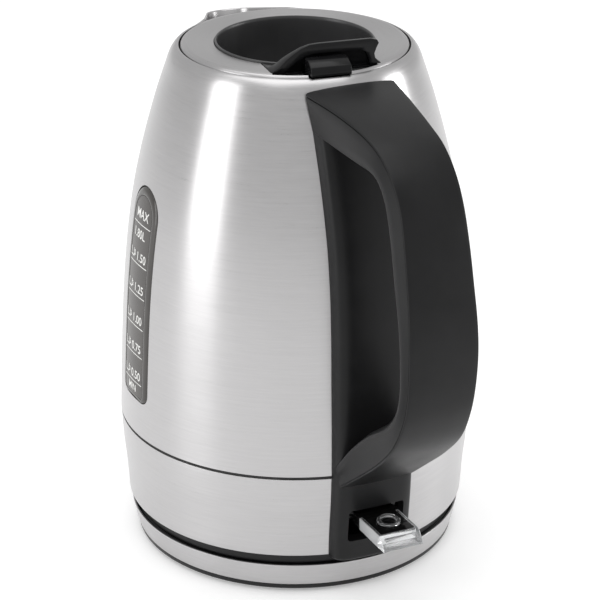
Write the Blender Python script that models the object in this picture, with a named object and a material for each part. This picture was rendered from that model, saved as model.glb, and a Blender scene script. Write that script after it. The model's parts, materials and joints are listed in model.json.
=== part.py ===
"""Cordless electric kettle of 1.8 litres on a round power base.

Z is the kettle's axis and z = 0 is the flat underside of the base. The spout points to +X, the handle to -X
and the water gauge to +Y. Every dimension below is in millimetres, and MM turns it into metres.
"""

import math

import bmesh
import bpy
from mathutils import Matrix, Vector

MM = 0.001
GAP = 0.3  # clearance between pieces that touch on the real object
ROUND = 36  # facets of the large turned pieces
SMALL = 16  # facets of pins, tubes and bosses

# Power base
BASE_R = 72.6
BASE_TOP_R = 75.4
FOOT_DROP = 1.0
SKIRT_LOW, SKIRT_HIGH = 1.9, 13.9
DECK_TOP = 13.4
PILLAR_R = 8.4
PILLAR_TOP = 31.0

# Jug, as radius at height
FOOT_Z = 19.5
SEAM_LOW, SEAM_HIGH = 58.0, 59.4
BAND = [(76.6, FOOT_Z), (77.4, 32.8), (78.6, 45.2), (79.3, SEAM_LOW)]
JUG = [(79.4, SEAM_HIGH), (78.3, 88.0), (76.1, 124.0), (72.6, 155.0), (68.1, 178.6), (61.2, 204.1), (54.9, 223.1)]
WALL = 0.8
NECK_R = 50.1
RIM_Z = 228.7
FLOOR_Z = 55.0

# Spout
SPOUT_TIP = 80.0
SPOUT_ROOT_Z = 176.0
SPOUT_RIM_Z = 221.5
SPOUT_RIM_SLOPE = 0.22
SPOUT_WALL = 1.3

# Water gauge, flat dimensions seen along Y
GAUGE_LOW, GAUGE_HIGH = 75.6, 173.4
GAUGE_TOP_R = 13.2
GAUGE_FOOT_HALF = 13.4
GAUGE_CORNER_R = 5.0
GAUGE_FRAME = 4.2

# Lid, in its own frame with the latch at -X
LID_TURN = -7.4
LID_R = 49.4
BOWL_R = 34.8
BOWL_DEPTH = 31.0
FLANGE_TOP = 228.2
WEDGE_HALF = 21.7
LATCH_HALF = 8.8
LATCH_TRAVEL = 3.0

# Handle
SPINE_DEPTH = 6.0
SPINE_LOW = 15.4
SLOT_HALF, SLOT_LOW, SLOT_HIGH = 13.2, 28.5, 44.0

# Switch lever
PIVOT_X, PIVOT_Z = -71.6, 38.2
LEVER_HALF = 9.9

# Pieces on which the exact solver leaves open edges in its many-sided faces
MANY_FACED = ("handle_body", "base_top_plate", "base_bottom_cover", "bottom_moulding")

# Colours, roughness and metallic value of each finish
FINISHES = {
    "brushed_steel": ((0.62, 0.61, 0.60), 0.32, 1.0),
    "satin_black": ((0.025, 0.025, 0.027), 0.45, 0.0),
    "gloss_black": ((0.015, 0.015, 0.017), 0.2, 0.0),
    "dark_grey": ((0.05, 0.05, 0.052), 0.5, 0.0),
    "rubber": ((0.03, 0.03, 0.03), 0.8, 0.0),
    "silicone": ((0.35, 0.35, 0.34), 0.6, 0.0),
    "brass": ((0.72, 0.52, 0.22), 0.3, 1.0),
    "aluminium": ((0.75, 0.75, 0.76), 0.4, 1.0),
    "screw_steel": ((0.5, 0.5, 0.5), 0.35, 1.0),
    "smoked_clear": ((0.16, 0.14, 0.13), 0.1, 0.0),
    "clear": ((0.85, 0.87, 0.88), 0.05, 0.0),
    "grey_plastic": ((0.11, 0.11, 0.11), 0.4, 0.0),
    "lamp_lens": ((0.7, 0.25, 0.2), 0.2, 0.0),
}


# ---------------------------------------------------------------- scene and mesh helpers


def clear_scene():
    for obj in list(bpy.data.objects):
        bpy.data.objects.remove(obj, do_unlink=True)


def finish_of(name):
    """The Principled material of a finish, made once."""
    found = bpy.data.materials.get(name)
    if found:
        return found
    colour, roughness, metallic = FINISHES[name]
    made = bpy.data.materials.new(name)
    made.use_nodes = True
    shader = made.node_tree.nodes["Principled BSDF"]
    shader.inputs["Base Color"].default_value = (*colour, 1.0)
    shader.inputs["Roughness"].default_value = roughness
    shader.inputs["Metallic"].default_value = metallic
    return made


def solid(name, shape, finish, origin=(0, 0, 0), parent=None):
    """An object from (points, faces) in millimetres, with its faces turned outward and its origin where asked."""
    points, faces = shape
    base = Vector(origin)
    mesh = bpy.data.meshes.new(name)
    mesh.from_pydata([(Vector(p) - base) * MM for p in points], [], faces)
    work = bmesh.new()
    work.from_mesh(mesh)
    bmesh.ops.recalc_face_normals(work, faces=work.faces)
    work.to_mesh(mesh)
    work.free()
    mesh.materials.append(finish_of(finish))
    mesh.shade_smooth()
    mesh.set_sharp_from_angle(angle=math.radians(30))
    obj = bpy.data.objects.new(name, mesh)
    obj.location = base * MM
    obj.parent = parent
    bpy.context.scene.collection.objects.link(obj)
    return obj


def helper(name, shape, parent=None):
    """A hidden solid that only cuts another or joins it."""
    obj = solid(name, shape, "dark_grey", parent=parent)
    obj.hide_render = True
    obj.display_type = "WIRE"
    return obj


def boolean(obj, operation, shape):
    """Cuts a shape from an object, or joins it on."""
    name = f"{obj.name}_{operation.lower()}_{len(obj.modifiers)}"
    modifier = obj.modifiers.new(name, "BOOLEAN")
    modifier.operation = operation
    modifier.object = helper(name, shape, obj.parent)
    modifier.solver = "MANIFOLD" if obj.name in MANY_FACED else "EXACT"


def cut(obj, *shapes):
    for shape in shapes:
        boolean(obj, "DIFFERENCE", shape)


def join(obj, *shapes):
    for shape in shapes:
        boolean(obj, "UNION", shape)


def circle_point(radius, angle):
    return radius * math.cos(angle), radius * math.sin(angle)


def turned(profile, facets=ROUND, centre=(0.0, 0.0)):
    """A closed (radius, z) outline turned about a vertical axis."""
    points, faces, rings = [], [], []
    for radius, z in profile:
        count = 1 if radius < 1e-6 else facets
        rings.append(range(len(points), len(points) + count))
        for i in range(count):
            x, y = circle_point(radius, 2 * math.pi * i / facets)
            points.append((centre[0] + x, centre[1] + y, z))
    for low, high in zip(rings, rings[1:] + rings[:1]):
        if len(low) == 1 and len(high) == 1:
            continue
        for i in range(facets):
            j = (i + 1) % facets
            corners = [low[i % len(low)], low[j % len(low)], high[j % len(high)], high[i % len(high)]]
            faces.append(list(dict.fromkeys(corners)))
    return points, faces


def rod(radius, low, high, centre=(0.0, 0.0), facets=SMALL, bore=0.0):
    """A vertical cylinder, or a tube when it has a bore."""
    return turned([(radius, high), (radius, low), (bore, low), (bore, high)], facets, centre)


def lofted(loops, ring=False):
    """A skin over equal loops of points, closed by two caps, or back onto the first loop when it is a ring."""
    count = len(loops[0])
    points = [p for loop in loops for p in loop]
    faces = []
    pairs = list(zip(range(len(loops)), range(1, len(loops))))
    if ring:
        pairs.append((len(loops) - 1, 0))
    for a, b in pairs:
        for i in range(count):
            j = (i + 1) % count
            faces.append((a * count + i, a * count + j, b * count + j, b * count + i))
    if not ring:
        faces.append(tuple(range(count)))
        faces.append(tuple((len(loops) - 1) * count + i for i in range(count)))
    return points, faces


def block(low, high):
    """A box from its two corners."""
    (x0, y0, z0), (x1, y1, z1) = low, high
    loops = [[(x0, y0, z), (x1, y0, z), (x1, y1, z), (x0, y1, z)] for z in (z0, z1)]
    return lofted(loops)


def extruded_x(outline, low, high):
    """A (y, z) outline stretched along X."""
    return lofted([[(x, y, z) for y, z in outline] for x in (low, high)])


def extruded_y(outline, low, high):
    """An (x, z) outline stretched along Y."""
    return lofted([[(x, y, z) for x, z in outline] for y in (low, high)])


def extruded_z(outline, low, high):
    """An (x, y) outline stretched along Z."""
    return lofted([[(x, y, z) for x, y in outline] for z in (low, high)])


def laid_along_x(shape, y=0.0, z=0.0):
    """Turns a shape made about Z so that its axis lies along X."""
    points, faces = shape
    return [(pz, y + py, z - px) for px, py, pz in points], faces


def laid_along_y(shape, x=0.0, z=0.0):
    """Turns a shape made about Z so that its axis lies along Y."""
    points, faces = shape
    return [(x + px, pz, z - py) for px, py, pz in points], faces


def tube(path, radius, sides=10):
    """A round bar that follows a path."""
    path = [Vector(p) for p in path]
    loops = []
    side = (path[1] - path[0]).orthogonal().normalized()
    for i, point in enumerate(path):
        along = (path[min(i + 1, len(path) - 1)] - path[max(i - 1, 0)]).normalized()
        side = (side - along * side.dot(along)).normalized()
        other = along.cross(side)
        loop = []
        for k in range(sides):
            u, v = circle_point(radius, 2 * math.pi * k / sides)
            loop.append(tuple(point + side * u + other * v))
        loops.append(loop)
    return lofted(loops)


def smooth_curve(knots, steps):
    """Points along a Catmull-Rom curve through the knots, with this many steps between two of them."""
    ends = [Vector(knots[0]) * 2 - Vector(knots[1]), Vector(knots[-1]) * 2 - Vector(knots[-2])]
    run = [ends[0]] + [Vector(k) for k in knots] + [ends[1]]
    curve = []
    for a, b, c, d in zip(run, run[1:], run[2:], run[3:]):
        for i in range(steps):
            t = i / steps
            curve.append(0.5 * (2 * b + (c - a) * t + (2 * a - 5 * b + 4 * c - d) * t**2 + (3 * b - a - 3 * c + d) * t**3))
    curve.append(run[-2])
    return [tuple(point) for point in curve]


JUG_CURVE = smooth_curve(JUG, 2)
SHOULDER = [(53.0, 226.6), (51.2, 228.4), (NECK_R, RIM_Z)]
OUTSIDE = BAND + JUG_CURVE + SHOULDER


def outside_radius(z):
    """The steel's outer radius at a height."""
    for (r0, z0), (r1, z1) in zip(OUTSIDE, OUTSIDE[1:]):
        if z0 <= z <= z1:
            return r0 + (r1 - r0) * (z - z0) / (z1 - z0)
    return OUTSIDE[0][0] if z < FOOT_Z else OUTSIDE[-1][0]


def screw(name, centre, head_low, length, parent=None, upward=True):
    """A pan-head screw standing in its hole, its head below when it points upward."""
    head, shank, height = 2.9, 1.4, 1.8
    sign = 1 if upward else -1
    profile = [(0, 0), (head - 0.4, 0), (head, height), (shank, height), (shank, length), (0, length)]
    outline = [(r, head_low + sign * z) for r, z in profile]
    return solid(name, turned(outline, 8, centre), "screw_steel", parent=parent)


# ---------------------------------------------------------------- power base


def base_bottom_cover():
    """Shallow dish under the base, with a groove between its flat middle and the feet."""
    rim = BASE_R - 1.2
    outline = [
        (0, 0),
        (53.0, 0),
        (53.5, 0.6),
        (54.3, 0.6),
        (54.8, 0),
        (rim - 4.5, 0),
        (rim, 1.4),
        (rim, 5.0),
        (rim - 1.6, 5.0),
        (rim - 1.6, 2.4),
        (0, 2.4),
    ]
    cover = solid("base_bottom_cover", turned(outline), "satin_black")
    cut(cover, gland_hole())
    for x, y in base_screw_places():
        cut(cover, rod(3.3, -1, 1.2, (x, y)), rod(1.7, -1, 4, (x, y)))
    return cover


def base_screw_places():
    return [circle_point(44.0, math.radians(a)) for a in (52, 172, 292)]


def base_feet():
    for i, angle in enumerate((30, 120, 210, 300)):
        x, y = circle_point(61.0, math.radians(angle))
        shape = rod(5.0, -FOOT_DROP, -GAP * 0.2, (x, y))
        solid(f"base_foot_{i + 1}", shape, "rubber")


def base_skirt_ring():
    """Steel band round the base, leaning outward, with a hole for the cord's gland."""
    lean = [(BASE_R, SKIRT_LOW), (74.1, 7.6), (BASE_TOP_R, SKIRT_HIGH)]
    inner = [(r - 0.9, z) for r, z in reversed(lean)]
    ring = solid("base_skirt_ring", turned(lean + inner), "brushed_steel")
    cut(ring, gland_hole())


def gland_hole():
    return laid_along_x(rod(4.8, 62, 80), z=7.3)


def base_top_plate():
    """Deck that the jug stands on, with a hole for the connector's pillar."""
    hole = PILLAR_R + 0.9
    outline = [
        (hole, DECK_TOP + 2.0),
        (hole + 4.0, DECK_TOP + 2.0),
        (hole + 6.0, DECK_TOP),
        (72.6, DECK_TOP),
        (73.6, DECK_TOP - 0.6),
        (73.2, 10.0),
        (69.4, 5.6),
        (67.6, 5.6),
        (69.8, 11.0),
        (hole, 11.0),
    ]
    deck = solid("base_top_plate", turned(outline), "satin_black")
    cut(deck, gland_hole())
    for x, y in base_screw_places():
        join(deck, rod(3.4, 3.0, 12.0, (x, y)))
        cut(deck, rod(1.7, 2.5, 10.0, (x, y)))


def base_screws():
    for i, place in enumerate(base_screw_places()):
        screw(f"base_screw_{i + 1}", place, -0.7, 8.5)


def cord_gland():
    """Bush in the base's side that the mains cord leaves through, empty here."""
    outline = [(4.4, 66.0), (4.4, 76.8), (3.6, 78.4), (2.6, 78.4), (2.6, 66.0)]
    solid("cord_gland", laid_along_x(turned(outline, SMALL), z=7.3), "rubber")


def connector_pillar():
    """Round plug in the middle of the base, which the jug turns about and lifts off."""
    groove = PILLAR_R - 1.4
    outline = [
        (0, PILLAR_TOP),
        (PILLAR_R - 2.0, PILLAR_TOP),
        (PILLAR_R, PILLAR_TOP - 2.0),
        (PILLAR_R, 26.6),
        (groove, 26.6),
        (groove, 23.4),
        (PILLAR_R, 23.4),
        (PILLAR_R, 21.6),
        (groove, 21.6),
        (groove, 18.4),
        (PILLAR_R, 18.4),
        (PILLAR_R, 10.4),
        (15.0, 10.4),
        (15.0, 3.0),
        (0, 3.0),
    ]
    pillar = solid("connector_pillar", turned(outline, 24), "satin_black")
    cut(pillar, rod(2.4, 20.0, 40.0))
    for name, low in (("line_contact_ring", 18.7), ("neutral_contact_ring", 23.7)):
        ring = rod(PILLAR_R - 0.2, low, low + 2.6, facets=24, bore=groove + GAP)
        solid(name, ring, "brass")
    tip = [(0, PILLAR_TOP + 3.5), (1.2, PILLAR_TOP + 3.0), (2.0, PILLAR_TOP + 1.5), (2.0, 20.4), (0, 20.4)]
    solid("earth_pin", turned(tip, 16), "brass")


# ---------------------------------------------------------------- jug


def spout_plan(z, inset):
    """Outline of the beak at a height: flanks that leave the steel and close in on a round nose."""
    rise = min(max((z - SPOUT_ROOT_Z) / (SPOUT_RIM_Z - SPOUT_ROOT_Z), 0.0), 1.0)
    wall_r = outside_radius(min(z, 222.0))
    reach = wall_r - 1.5 + (SPOUT_TIP - 54.0) * rise**1.4 - inset
    nose = 3.0 + 8.5 * rise - inset
    half = 6.0 + 15.0 * rise - inset
    root = (math.sqrt(wall_r**2 - half**2) - 1.0 - inset, half)
    outline = [(40.0 + inset, -half), (root[0], -half)]
    for i in range(7):
        x, y = circle_point(nose, math.radians(-66 + 22 * i))
        outline.append((reach - nose + x, y))
    return outline + [root, (40.0 + inset, half)]


def spout_shape(inset, lowest, rim_lift):
    """The beak as a solid whose rim slopes down to the tip."""
    loops = []
    for z in [lowest] + [z for z in (183.0, 191.0, 200.0, 209.0, 216.0) if z > lowest]:
        loops.append([(x, y, z) for x, y in spout_plan(z, inset)])
    rim = []
    for x, y in spout_plan(SPOUT_RIM_Z, inset):
        rim.append((x, y, SPOUT_RIM_Z + rim_lift + (SPOUT_TIP - max(x, 50.0)) * SPOUT_RIM_SLOPE))
    return lofted(loops + [rim])


def spout_channel():
    """The inside of the beak, which opens into the jug behind and upward in front of the neck."""
    points, faces = spout_shape(SPOUT_WALL, 191.0, 8.0)
    return [(max(x, 53.4), y, z) for x, y, z in points], faces


def body_shell():
    """Jug wall with its neck, spout and gauge opening. Its foot steps in behind the lower band."""
    foot = [(0, FLOOR_Z - 1.0), (78.0, FLOOR_Z - 1.0), (78.0, SEAM_HIGH)]
    shell = solid("body_shell", turned(foot + JUG_CURVE + SHOULDER + [(0, RIM_Z)]), "brushed_steel")
    join(shell, spout_shape(0.0, SPOUT_ROOT_Z, 0.0))
    inside = [(0, 50.0), (77.2, 50.0), (77.2, 60.4)] + [(r - WALL, z) for r, z in JUG_CURVE if 62.0 < z < 222.0]
    under_neck = [(54.3, 222.4), (52.6, 225.6), (50.9, 227.2), (50.9, 222.8), (NECK_R, 222.8)]
    cut(shell, turned(inside + under_neck + [(NECK_R, 240.0), (0, 240.0)]))
    cut(shell, spout_channel(), extruded_gauge(0.0), handle_screw_hole(HANDLE_SCREW_HIGH, 2.0))
    return shell


def lower_band():
    """Steel skirt below the seam, curled in at its foot and open behind the handle for the switch."""
    inner = [(r - WALL, z) for r, z in reversed(BAND)]
    curl = [(inner[-1][0], FOOT_Z + WALL), (73.9, FOOT_Z + WALL), (73.9, FOOT_Z)]
    band = solid("lower_band", turned(BAND + inner[:-1] + curl), "brushed_steel")
    window = block((-90, -SLOT_HALF - 1, SLOT_LOW - 2), (-60, SLOT_HALF + 1, SLOT_HIGH + 1))
    cut(band, window, handle_screw_hole(HANDLE_SCREW_LOW, 2.0))


def seam_ring():
    outline = [(79.1, SEAM_LOW + GAP), (79.1, SEAM_HIGH - GAP), (78.3, SEAM_HIGH - GAP), (78.3, SEAM_LOW + GAP)]
    solid("seam_ring", turned(outline), "rubber")


def floor_plate():
    """Steel bottom of the water space, with a hole for the steam tube."""
    edge = 76.9
    outline = [(0, FLOOR_Z + 0.8), (edge - 3, FLOOR_Z + 0.8), (edge - 0.8, FLOOR_Z + 3.8), (edge, FLOOR_Z + 3.8)]
    outline += [(edge, FLOOR_Z + 0.9), (edge - 2, FLOOR_Z), (0, FLOOR_Z)]
    plate = solid("floor_plate", turned(outline), "brushed_steel")
    cut(plate, rod(STEAM_TUBE_R + GAP, 50, 60, (STEAM_TUBE_X, 0)))


def heater():
    """Heat-spreading plate with its C-shaped element brazed under it."""
    solid("heater_plate", rod(46.0, FLOOR_Z - 3.3, FLOOR_Z - GAP, facets=32), "aluminium")
    loop_r, z = 36.0, FLOOR_Z - 7.4
    path = [(loop_r * math.cos(a), loop_r * math.sin(a), z) for a in arc(25, 335, 16)]
    for end, sign in ((0, 1), (-1, -1)):
        x, y, _ = path[end]
        tail = [(x + 1.5, y - sign * 3.0, z - 3.0), (x + 2.0, y - sign * 4.0, z - 9.0)]
        path = tail[::-1] + path if end == 0 else path + tail
    solid("heating_element", tube(path, 3.2, 7), "screw_steel")


def arc(start, end, steps):
    return [math.radians(start + (end - start) * i / steps) for i in range(steps + 1)]


def thermostat():
    """Control with the jug's socket under it and its snap disc against the heater plate."""
    outline = [(0, 47.8), (21.0, 47.8), (21.0, 40.0), (17.0, 37.6), (0, 37.6)]
    solid("thermostat_control", turned(outline, 24), "gloss_black")
    solid("snap_disc", turned([(0, 51.0), (9.5, 50.2), (9.5, 49.8), (0, 50.6)], 24), "brass")
    sleeve = [
        (9.4, 16.6),
        (14.0, 16.6),
        (14.0, 37.2),
        (0, 37.2),
        (0, 35.6),
        (9.4, 35.6),
    ]
    solid("connector_socket", turned(sleeve, 24), "satin_black")


def bottom_moulding():
    """Plastic underside of the jug, which stands on the base's deck."""
    outline = [
        (14.4, 17.0),
        (18.0, 17.0),
        (20.0, 19.0),
        (68.0, 19.0),
        (69.0, DECK_TOP + 0.4),
        (72.9, DECK_TOP + 0.4),
        (73.6, DECK_TOP + 1.2),
        (73.6, 24.0),
        (71.6, 24.0),
        (71.6, 21.0),
        (14.4, 21.0),
    ]
    floor = solid("bottom_moulding", turned(outline), "satin_black")
    for x, y in bottom_screw_places():
        cut(floor, rod(1.8, 16, 24, (x, y)))


def bottom_screw_places():
    return [circle_point(52.0, math.radians(a)) for a in (98, 218, 338)]


def bottom_screws():
    for i, place in enumerate(bottom_screw_places()):
        screw(f"bottom_screw_{i + 1}", place, 16.9, 14.0)


STEAM_TUBE_X, STEAM_TUBE_R = -54.0, 4.0


def steam_tube():
    """Tube that leads steam from under the lid down to the switch."""
    tube_shape = rod(STEAM_TUBE_R, 44.0, 204.0, (STEAM_TUBE_X, 0), 16, STEAM_TUBE_R - 1.0)
    solid("steam_tube", tube_shape, "grey_plastic")


def lid_seat_ring():
    """Plastic ring in the neck that the lid's gasket rests on, with a notch for the latch."""
    outline = [(47.2, 221.6), (49.6, 221.6), (49.9, 222.4), (52.0, 222.4), (52.0, 220.8), (49.4, 213.0), (47.2, 213.0)]
    ring = solid("lid_seat_ring", turned(outline), "dark_grey")
    notch = block((-60, -LATCH_HALF - 1, 205), (-40, LATCH_HALF + 1, 230))
    turn = Matrix.Rotation(math.radians(LID_TURN), 3, "Z")
    cut(ring, ([tuple(turn @ Vector(p)) for p in notch[0]], notch[1]))


def spout_filter():
    """Framed strainer behind the spout, with slots for the water."""
    half, low, high = 15.0, 178.0, 211.0
    frame = solid("spout_filter", block((50.6, -half, low), (52.2, half, high)), "dark_grey")
    for i in range(5):
        y = -half + 3.0 + i * 5.2
        cut(frame, block((48, y, low + 3.0), (55, y + 3.2, high - 3.0)))


# ---------------------------------------------------------------- water gauge


def gauge_outline(inset):
    """Outline of the gauge seen along Y, counter-clockwise from its lower right corner."""
    points = []
    corner = max(GAUGE_CORNER_R - inset, 1.0)
    foot, low = GAUGE_FOOT_HALF - inset, GAUGE_LOW + inset
    top_r = GAUGE_TOP_R - inset
    top_z = GAUGE_HIGH - GAUGE_TOP_R
    for a in arc(-90, 0, 3):
        points.append((foot - corner + corner * math.cos(a), low + corner + corner * math.sin(a)))
    for i in range(1, 6):
        t = i / 6
        points.append((foot + (top_r - foot) * t, low + corner + (top_z - low - corner) * t))
    for a in arc(0, 90, 4):
        points.append((top_r * math.cos(a), top_z + top_r * math.sin(a)))
    return points + [(-x, z) for x, z in reversed(points) if x > 0.01]


def extruded_gauge(inset):
    return extruded_y(gauge_outline(inset), 50, 95)


def on_jug(x, z, offset):
    """A point at this distance outside the steel, on the gauge's side."""
    radius = outside_radius(z) + offset
    return x, math.sqrt(radius**2 - x**2), z


def gauge_ring(section):
    """A curved frame. Its section is listed as (inset from the gauge's outline, offset from the steel)."""
    loops = []
    for inset, offset in section:
        loops.append([on_jug(x, z, offset) for x, z in gauge_outline(inset)])
    return lofted(loops, ring=True)


def gauge_pane(inset, front, back):
    """A curved pane that fills the gauge's outline, made of rows from side to side."""
    outline = [p for p in gauge_outline(inset) if p[0] > 0.01]
    rows = [(x, z) for x, z in outline]
    top_x, top_z = rows[-1]
    rows.append((top_x * 0.45, GAUGE_HIGH - inset - 0.15))
    columns = 4
    loops = []
    for half, z in rows:
        across = [half * (2 * i / columns - 1) for i in range(columns + 1)]
        loops.append([on_jug(x, z, front) for x in across] + [on_jug(x, z, back) for x in reversed(across)])
    return lofted(loops)


def water_gauge():
    frame = [(GAP, -0.8), (1.0, 0.1), (2.4, 0.6), (GAUGE_FRAME, 0.7), (GAUGE_FRAME, -3.0), (GAP, -3.0)]
    solid("gauge_frame", gauge_ring(frame), "grey_plastic")
    solid("gauge_window", gauge_pane(GAUGE_FRAME + GAP, 0.6, -1.8), "smoked_clear")
    seal = [(-1.6, -3.3), (GAUGE_FRAME - 0.6, -3.3), (GAUGE_FRAME - 0.6, -4.6), (-1.6, -4.6)]
    solid("gauge_seal", gauge_ring(seal), "silicone")


# ---------------------------------------------------------------- handle

# Stations along the strap: (x outward from the axis, z) on its back and on its finger side
STRAP_BACK = [(54, 226.0), (76, 223.9), (96, 220.6), (110, 216.2), (121, 208), (128.5, 197), (133.5, 182), (137.5, 165.5)]
STRAP_BACK += [(140.5, 150), (141.4, 136), (140.3, 121), (136.5, 107.5), (128.5, 93.5), (115, 80), (98.5, 66.8), (84.5, 56)]
STRAP_FRONT = [(57, 208.8), (76, 207.6), (94, 207.2), (104.5, 207), (112, 204.2), (118, 196.4), (122.8, 184), (127.4, 167.5)]
STRAP_FRONT += [(132, 152), (134.4, 137), (134.2, 121.5), (130.8, 110.8), (122.6, 101.6), (108.3, 92), (93.6, 79.5), (80, 65)]
BACK_HALF = [20.4, 17.4, 15.2, 14.5, 14.1, 14.0, 14.4, 14.8, 15.3, 15.6, 15.4, 15.5, 16.0, 16.2, 16.8, 17.8]
FRONT_HALF = [18.6, 17.4, 16.8, 16.4, 16.1, 16.0, 16.2, 16.5, 16.9, 17.1, 17.0, 17.2, 17.5, 17.7, 17.9, 18.0]
SPINE_HALF = [(15.4, 18.5), (60.0, 18.6), (100.0, 18.2), (140.0, 17.5), (160.0, 17.5), (190.0, 18.0), (219.0, 18.7)]
SHELL_T = 2.5
HANDLE_SCREW_LOW, HANDLE_SCREW_HIGH = 50.0, 196.0


def strap_frame(i):
    """(back point, unit vector from the finger side to the back, thickness) at a station."""
    back, front = Vector((STRAP_BACK[i])), Vector(STRAP_FRONT[i])
    out = back - front
    return back, out.normalized(), out.length


def strap_loop(i, section):
    """A section given as (y, distance from the back) placed at a station."""
    back, out, _ = strap_frame(i)
    loop = []
    for y, depth in section:
        place = back + out * depth
        loop.append((-place.x, y, place.y))
    return loop


def cover_section(half, fall):
    """Crowned cover over the back of the strap, with a lip that lies on the shell's edges."""
    lip = 1.5 * fall
    crown = [(half - 2.9, -3.2), (half - 2.9, -lip), (half, -lip), (half - 0.5, -0.8 * fall)]
    crown += [(half - 3.2, -0.45 * fall), (half * 0.5, -0.1 * fall), (0, 0)]
    return crown + [(-y, d) for y, d in reversed(crown[:-1])]


def cover_fall(i):
    """The cover is most crowned where it leaves the jug's shoulder."""
    return {0: 1.5, 1: 1.2}.get(i, 1.0)


def channel_outside(half, flared, thickness, crown, fall):
    """Outside of the finger-side shell, from the seam down the sloping side and round the crown."""
    deep = -thickness
    side = [(half, -1.5 * fall - GAP), (flared, deep), (flared - 2.6, deep - crown * 0.65), (flared * 0.45, deep - crown)]
    return side + [(-y, d) for y, d in reversed(side)]


def channel_inside(half, depth):
    """Hollow of the finger-side shell, open towards the cover. At the ends it only takes the cover."""
    y, low, high = half - SHELL_T, -depth, 3.0
    return [(y, high), (y, low), (-y, low), (-y, high)]


def strap_crown(i):
    """The finger side is nearly flat where the strap joins the spine and full in the grip."""
    return 1.5 + 4.0 * math.sin(math.pi * min(max((i - 1) / 13.0, 0.0), 1.0)) ** 0.8


def spine_loop(z, radius, half, face):
    """Plan section of the spine, chamfered beside a nearly flat face. Its back runs into the steel."""
    edge = math.sqrt(radius**2 - half**2)
    side = [(-edge + 4.0, -half), (-edge - 2.0, -half), (-face + 1.6, -half + 2.6), (-face + 0.3, -half + 6.0)]
    return [(x, y, z) for x, y in side + [(-face, 0)] + [(x, -y) for x, y in reversed(side)]]


def spine_half_width(z):
    """Half-width of the spine, which is waisted beside the grip."""
    for (low, a), (high, b) in zip(SPINE_HALF, SPINE_HALF[1:]):
        if z <= high:
            return a + (b - a) * (z - low) / (high - low)
    return SPINE_HALF[-1][1]


def spine_shape(grow=0.0):
    """The spine as a solid, or what its neighbours must leave clear when it grows."""
    heights = [SPINE_LOW, 17.0, FOOT_Z, 32.8, 45.2, 58.0] + [z for _, z in JUG_CURVE if 60.0 < z < 215.0] + [219.0]
    loops = []
    for z in heights:
        shy = 1.5 if z == SPINE_LOW else 0.0
        radius = outside_radius(z)
        half = spine_half_width(z) - shy + grow
        loops.append(spine_loop(z, radius, half, radius + SPINE_DEPTH - shy + grow))
    return lofted(loops)


def jug_clearance():
    """The space that the steel needs inside the handle's moulding."""
    outline = [(0, 10.0), (76.6 + GAP, 10.0)]
    outline += [(r + GAP, z) for r, z in OUTSIDE if 19.0 < z < 227.0]
    return turned(outline + [(52.6, 232.0), (0, 232.0)])


def handle_body():
    """Moulding that holds the spine on the jug's back and the finger side of the strap."""
    body = solid("handle_body", spine_shape(), "satin_black")
    outside, inside = [], []
    for i in range(len(STRAP_BACK)):
        thickness, half = strap_frame(i)[2], BACK_HALF[i]
        loop = channel_outside(half, FRONT_HALF[i], thickness, strap_crown(i), cover_fall(i))
        outside.append(strap_loop(i, loop))
        hollow = thickness - 0.4 if 0 < i < len(STRAP_BACK) - 1 else 3.2 + GAP
        inside.append(strap_loop(i, channel_inside(half, hollow)))
    join(body, lofted(outside))
    cut(body, lofted(inside), jug_clearance())
    cut(body, block((-95, -SLOT_HALF, SLOT_LOW), (-70, SLOT_HALF, SLOT_HIGH)))
    for z in (HANDLE_SCREW_LOW, HANDLE_SCREW_HIGH):
        cut(body, handle_screw_hole(z, 1.4))


def handle_cover():
    """Crowned outer cover, from the jug's shoulder round the grip to the spine's face."""
    loops = []
    for i in range(len(STRAP_BACK)):
        loops.append(strap_loop(i, cover_section(BACK_HALF[i], cover_fall(i))))
    cover = solid("handle_cover", lofted(loops), "satin_black")
    cut(cover, jug_clearance(), spine_shape(GAP))


def handle_screw_hole(z, radius):
    """Blind hole from inside the jug's wall into the spine."""
    wall = outside_radius(z)
    return laid_along_x(rod(radius, -wall - 4.8, -wall + 8.0, facets=12), z=z)


def handle_screws():
    for name, z in (("handle_screw_low", HANDLE_SCREW_LOW), ("handle_screw_high", HANDLE_SCREW_HIGH)):
        seat = outside_radius(z + 3.0 * (z > 60)) - WALL - GAP
        outline = [(0, 2.0), (2.6, 2.0), (3.0, 0.0), (1.1, 0.0), (1.1, -5.2), (0, -5.2)]
        shape = turned([(r, d - seat) for r, d in outline], 8)
        solid(name, laid_along_x(shape, z=z), "screw_steel")


# ---------------------------------------------------------------- switch


def switch_housing():
    """Bracket behind the slot: two cheeks that hold the lever's shaft and a back wall."""
    front, back, outer, inner = -74.2, -56.4, 14.9, 13.3
    outline = [(front, -outer), (back, -outer), (back, outer), (front, outer)]
    outline += [(front, inner), (back - 1.8, inner), (back - 1.8, -inner), (front, -inner)]
    housing = solid("switch_housing", extruded_z(outline, 27.0, 43.4), "gloss_black")
    cut(housing, lever_axle(1.6, 20.0))


def lever_axle(radius, half):
    """A round bar along the lever's axis."""
    return laid_along_y(rod(radius, -half, half, facets=12), PIVOT_X, PIVOT_Z)


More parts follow.
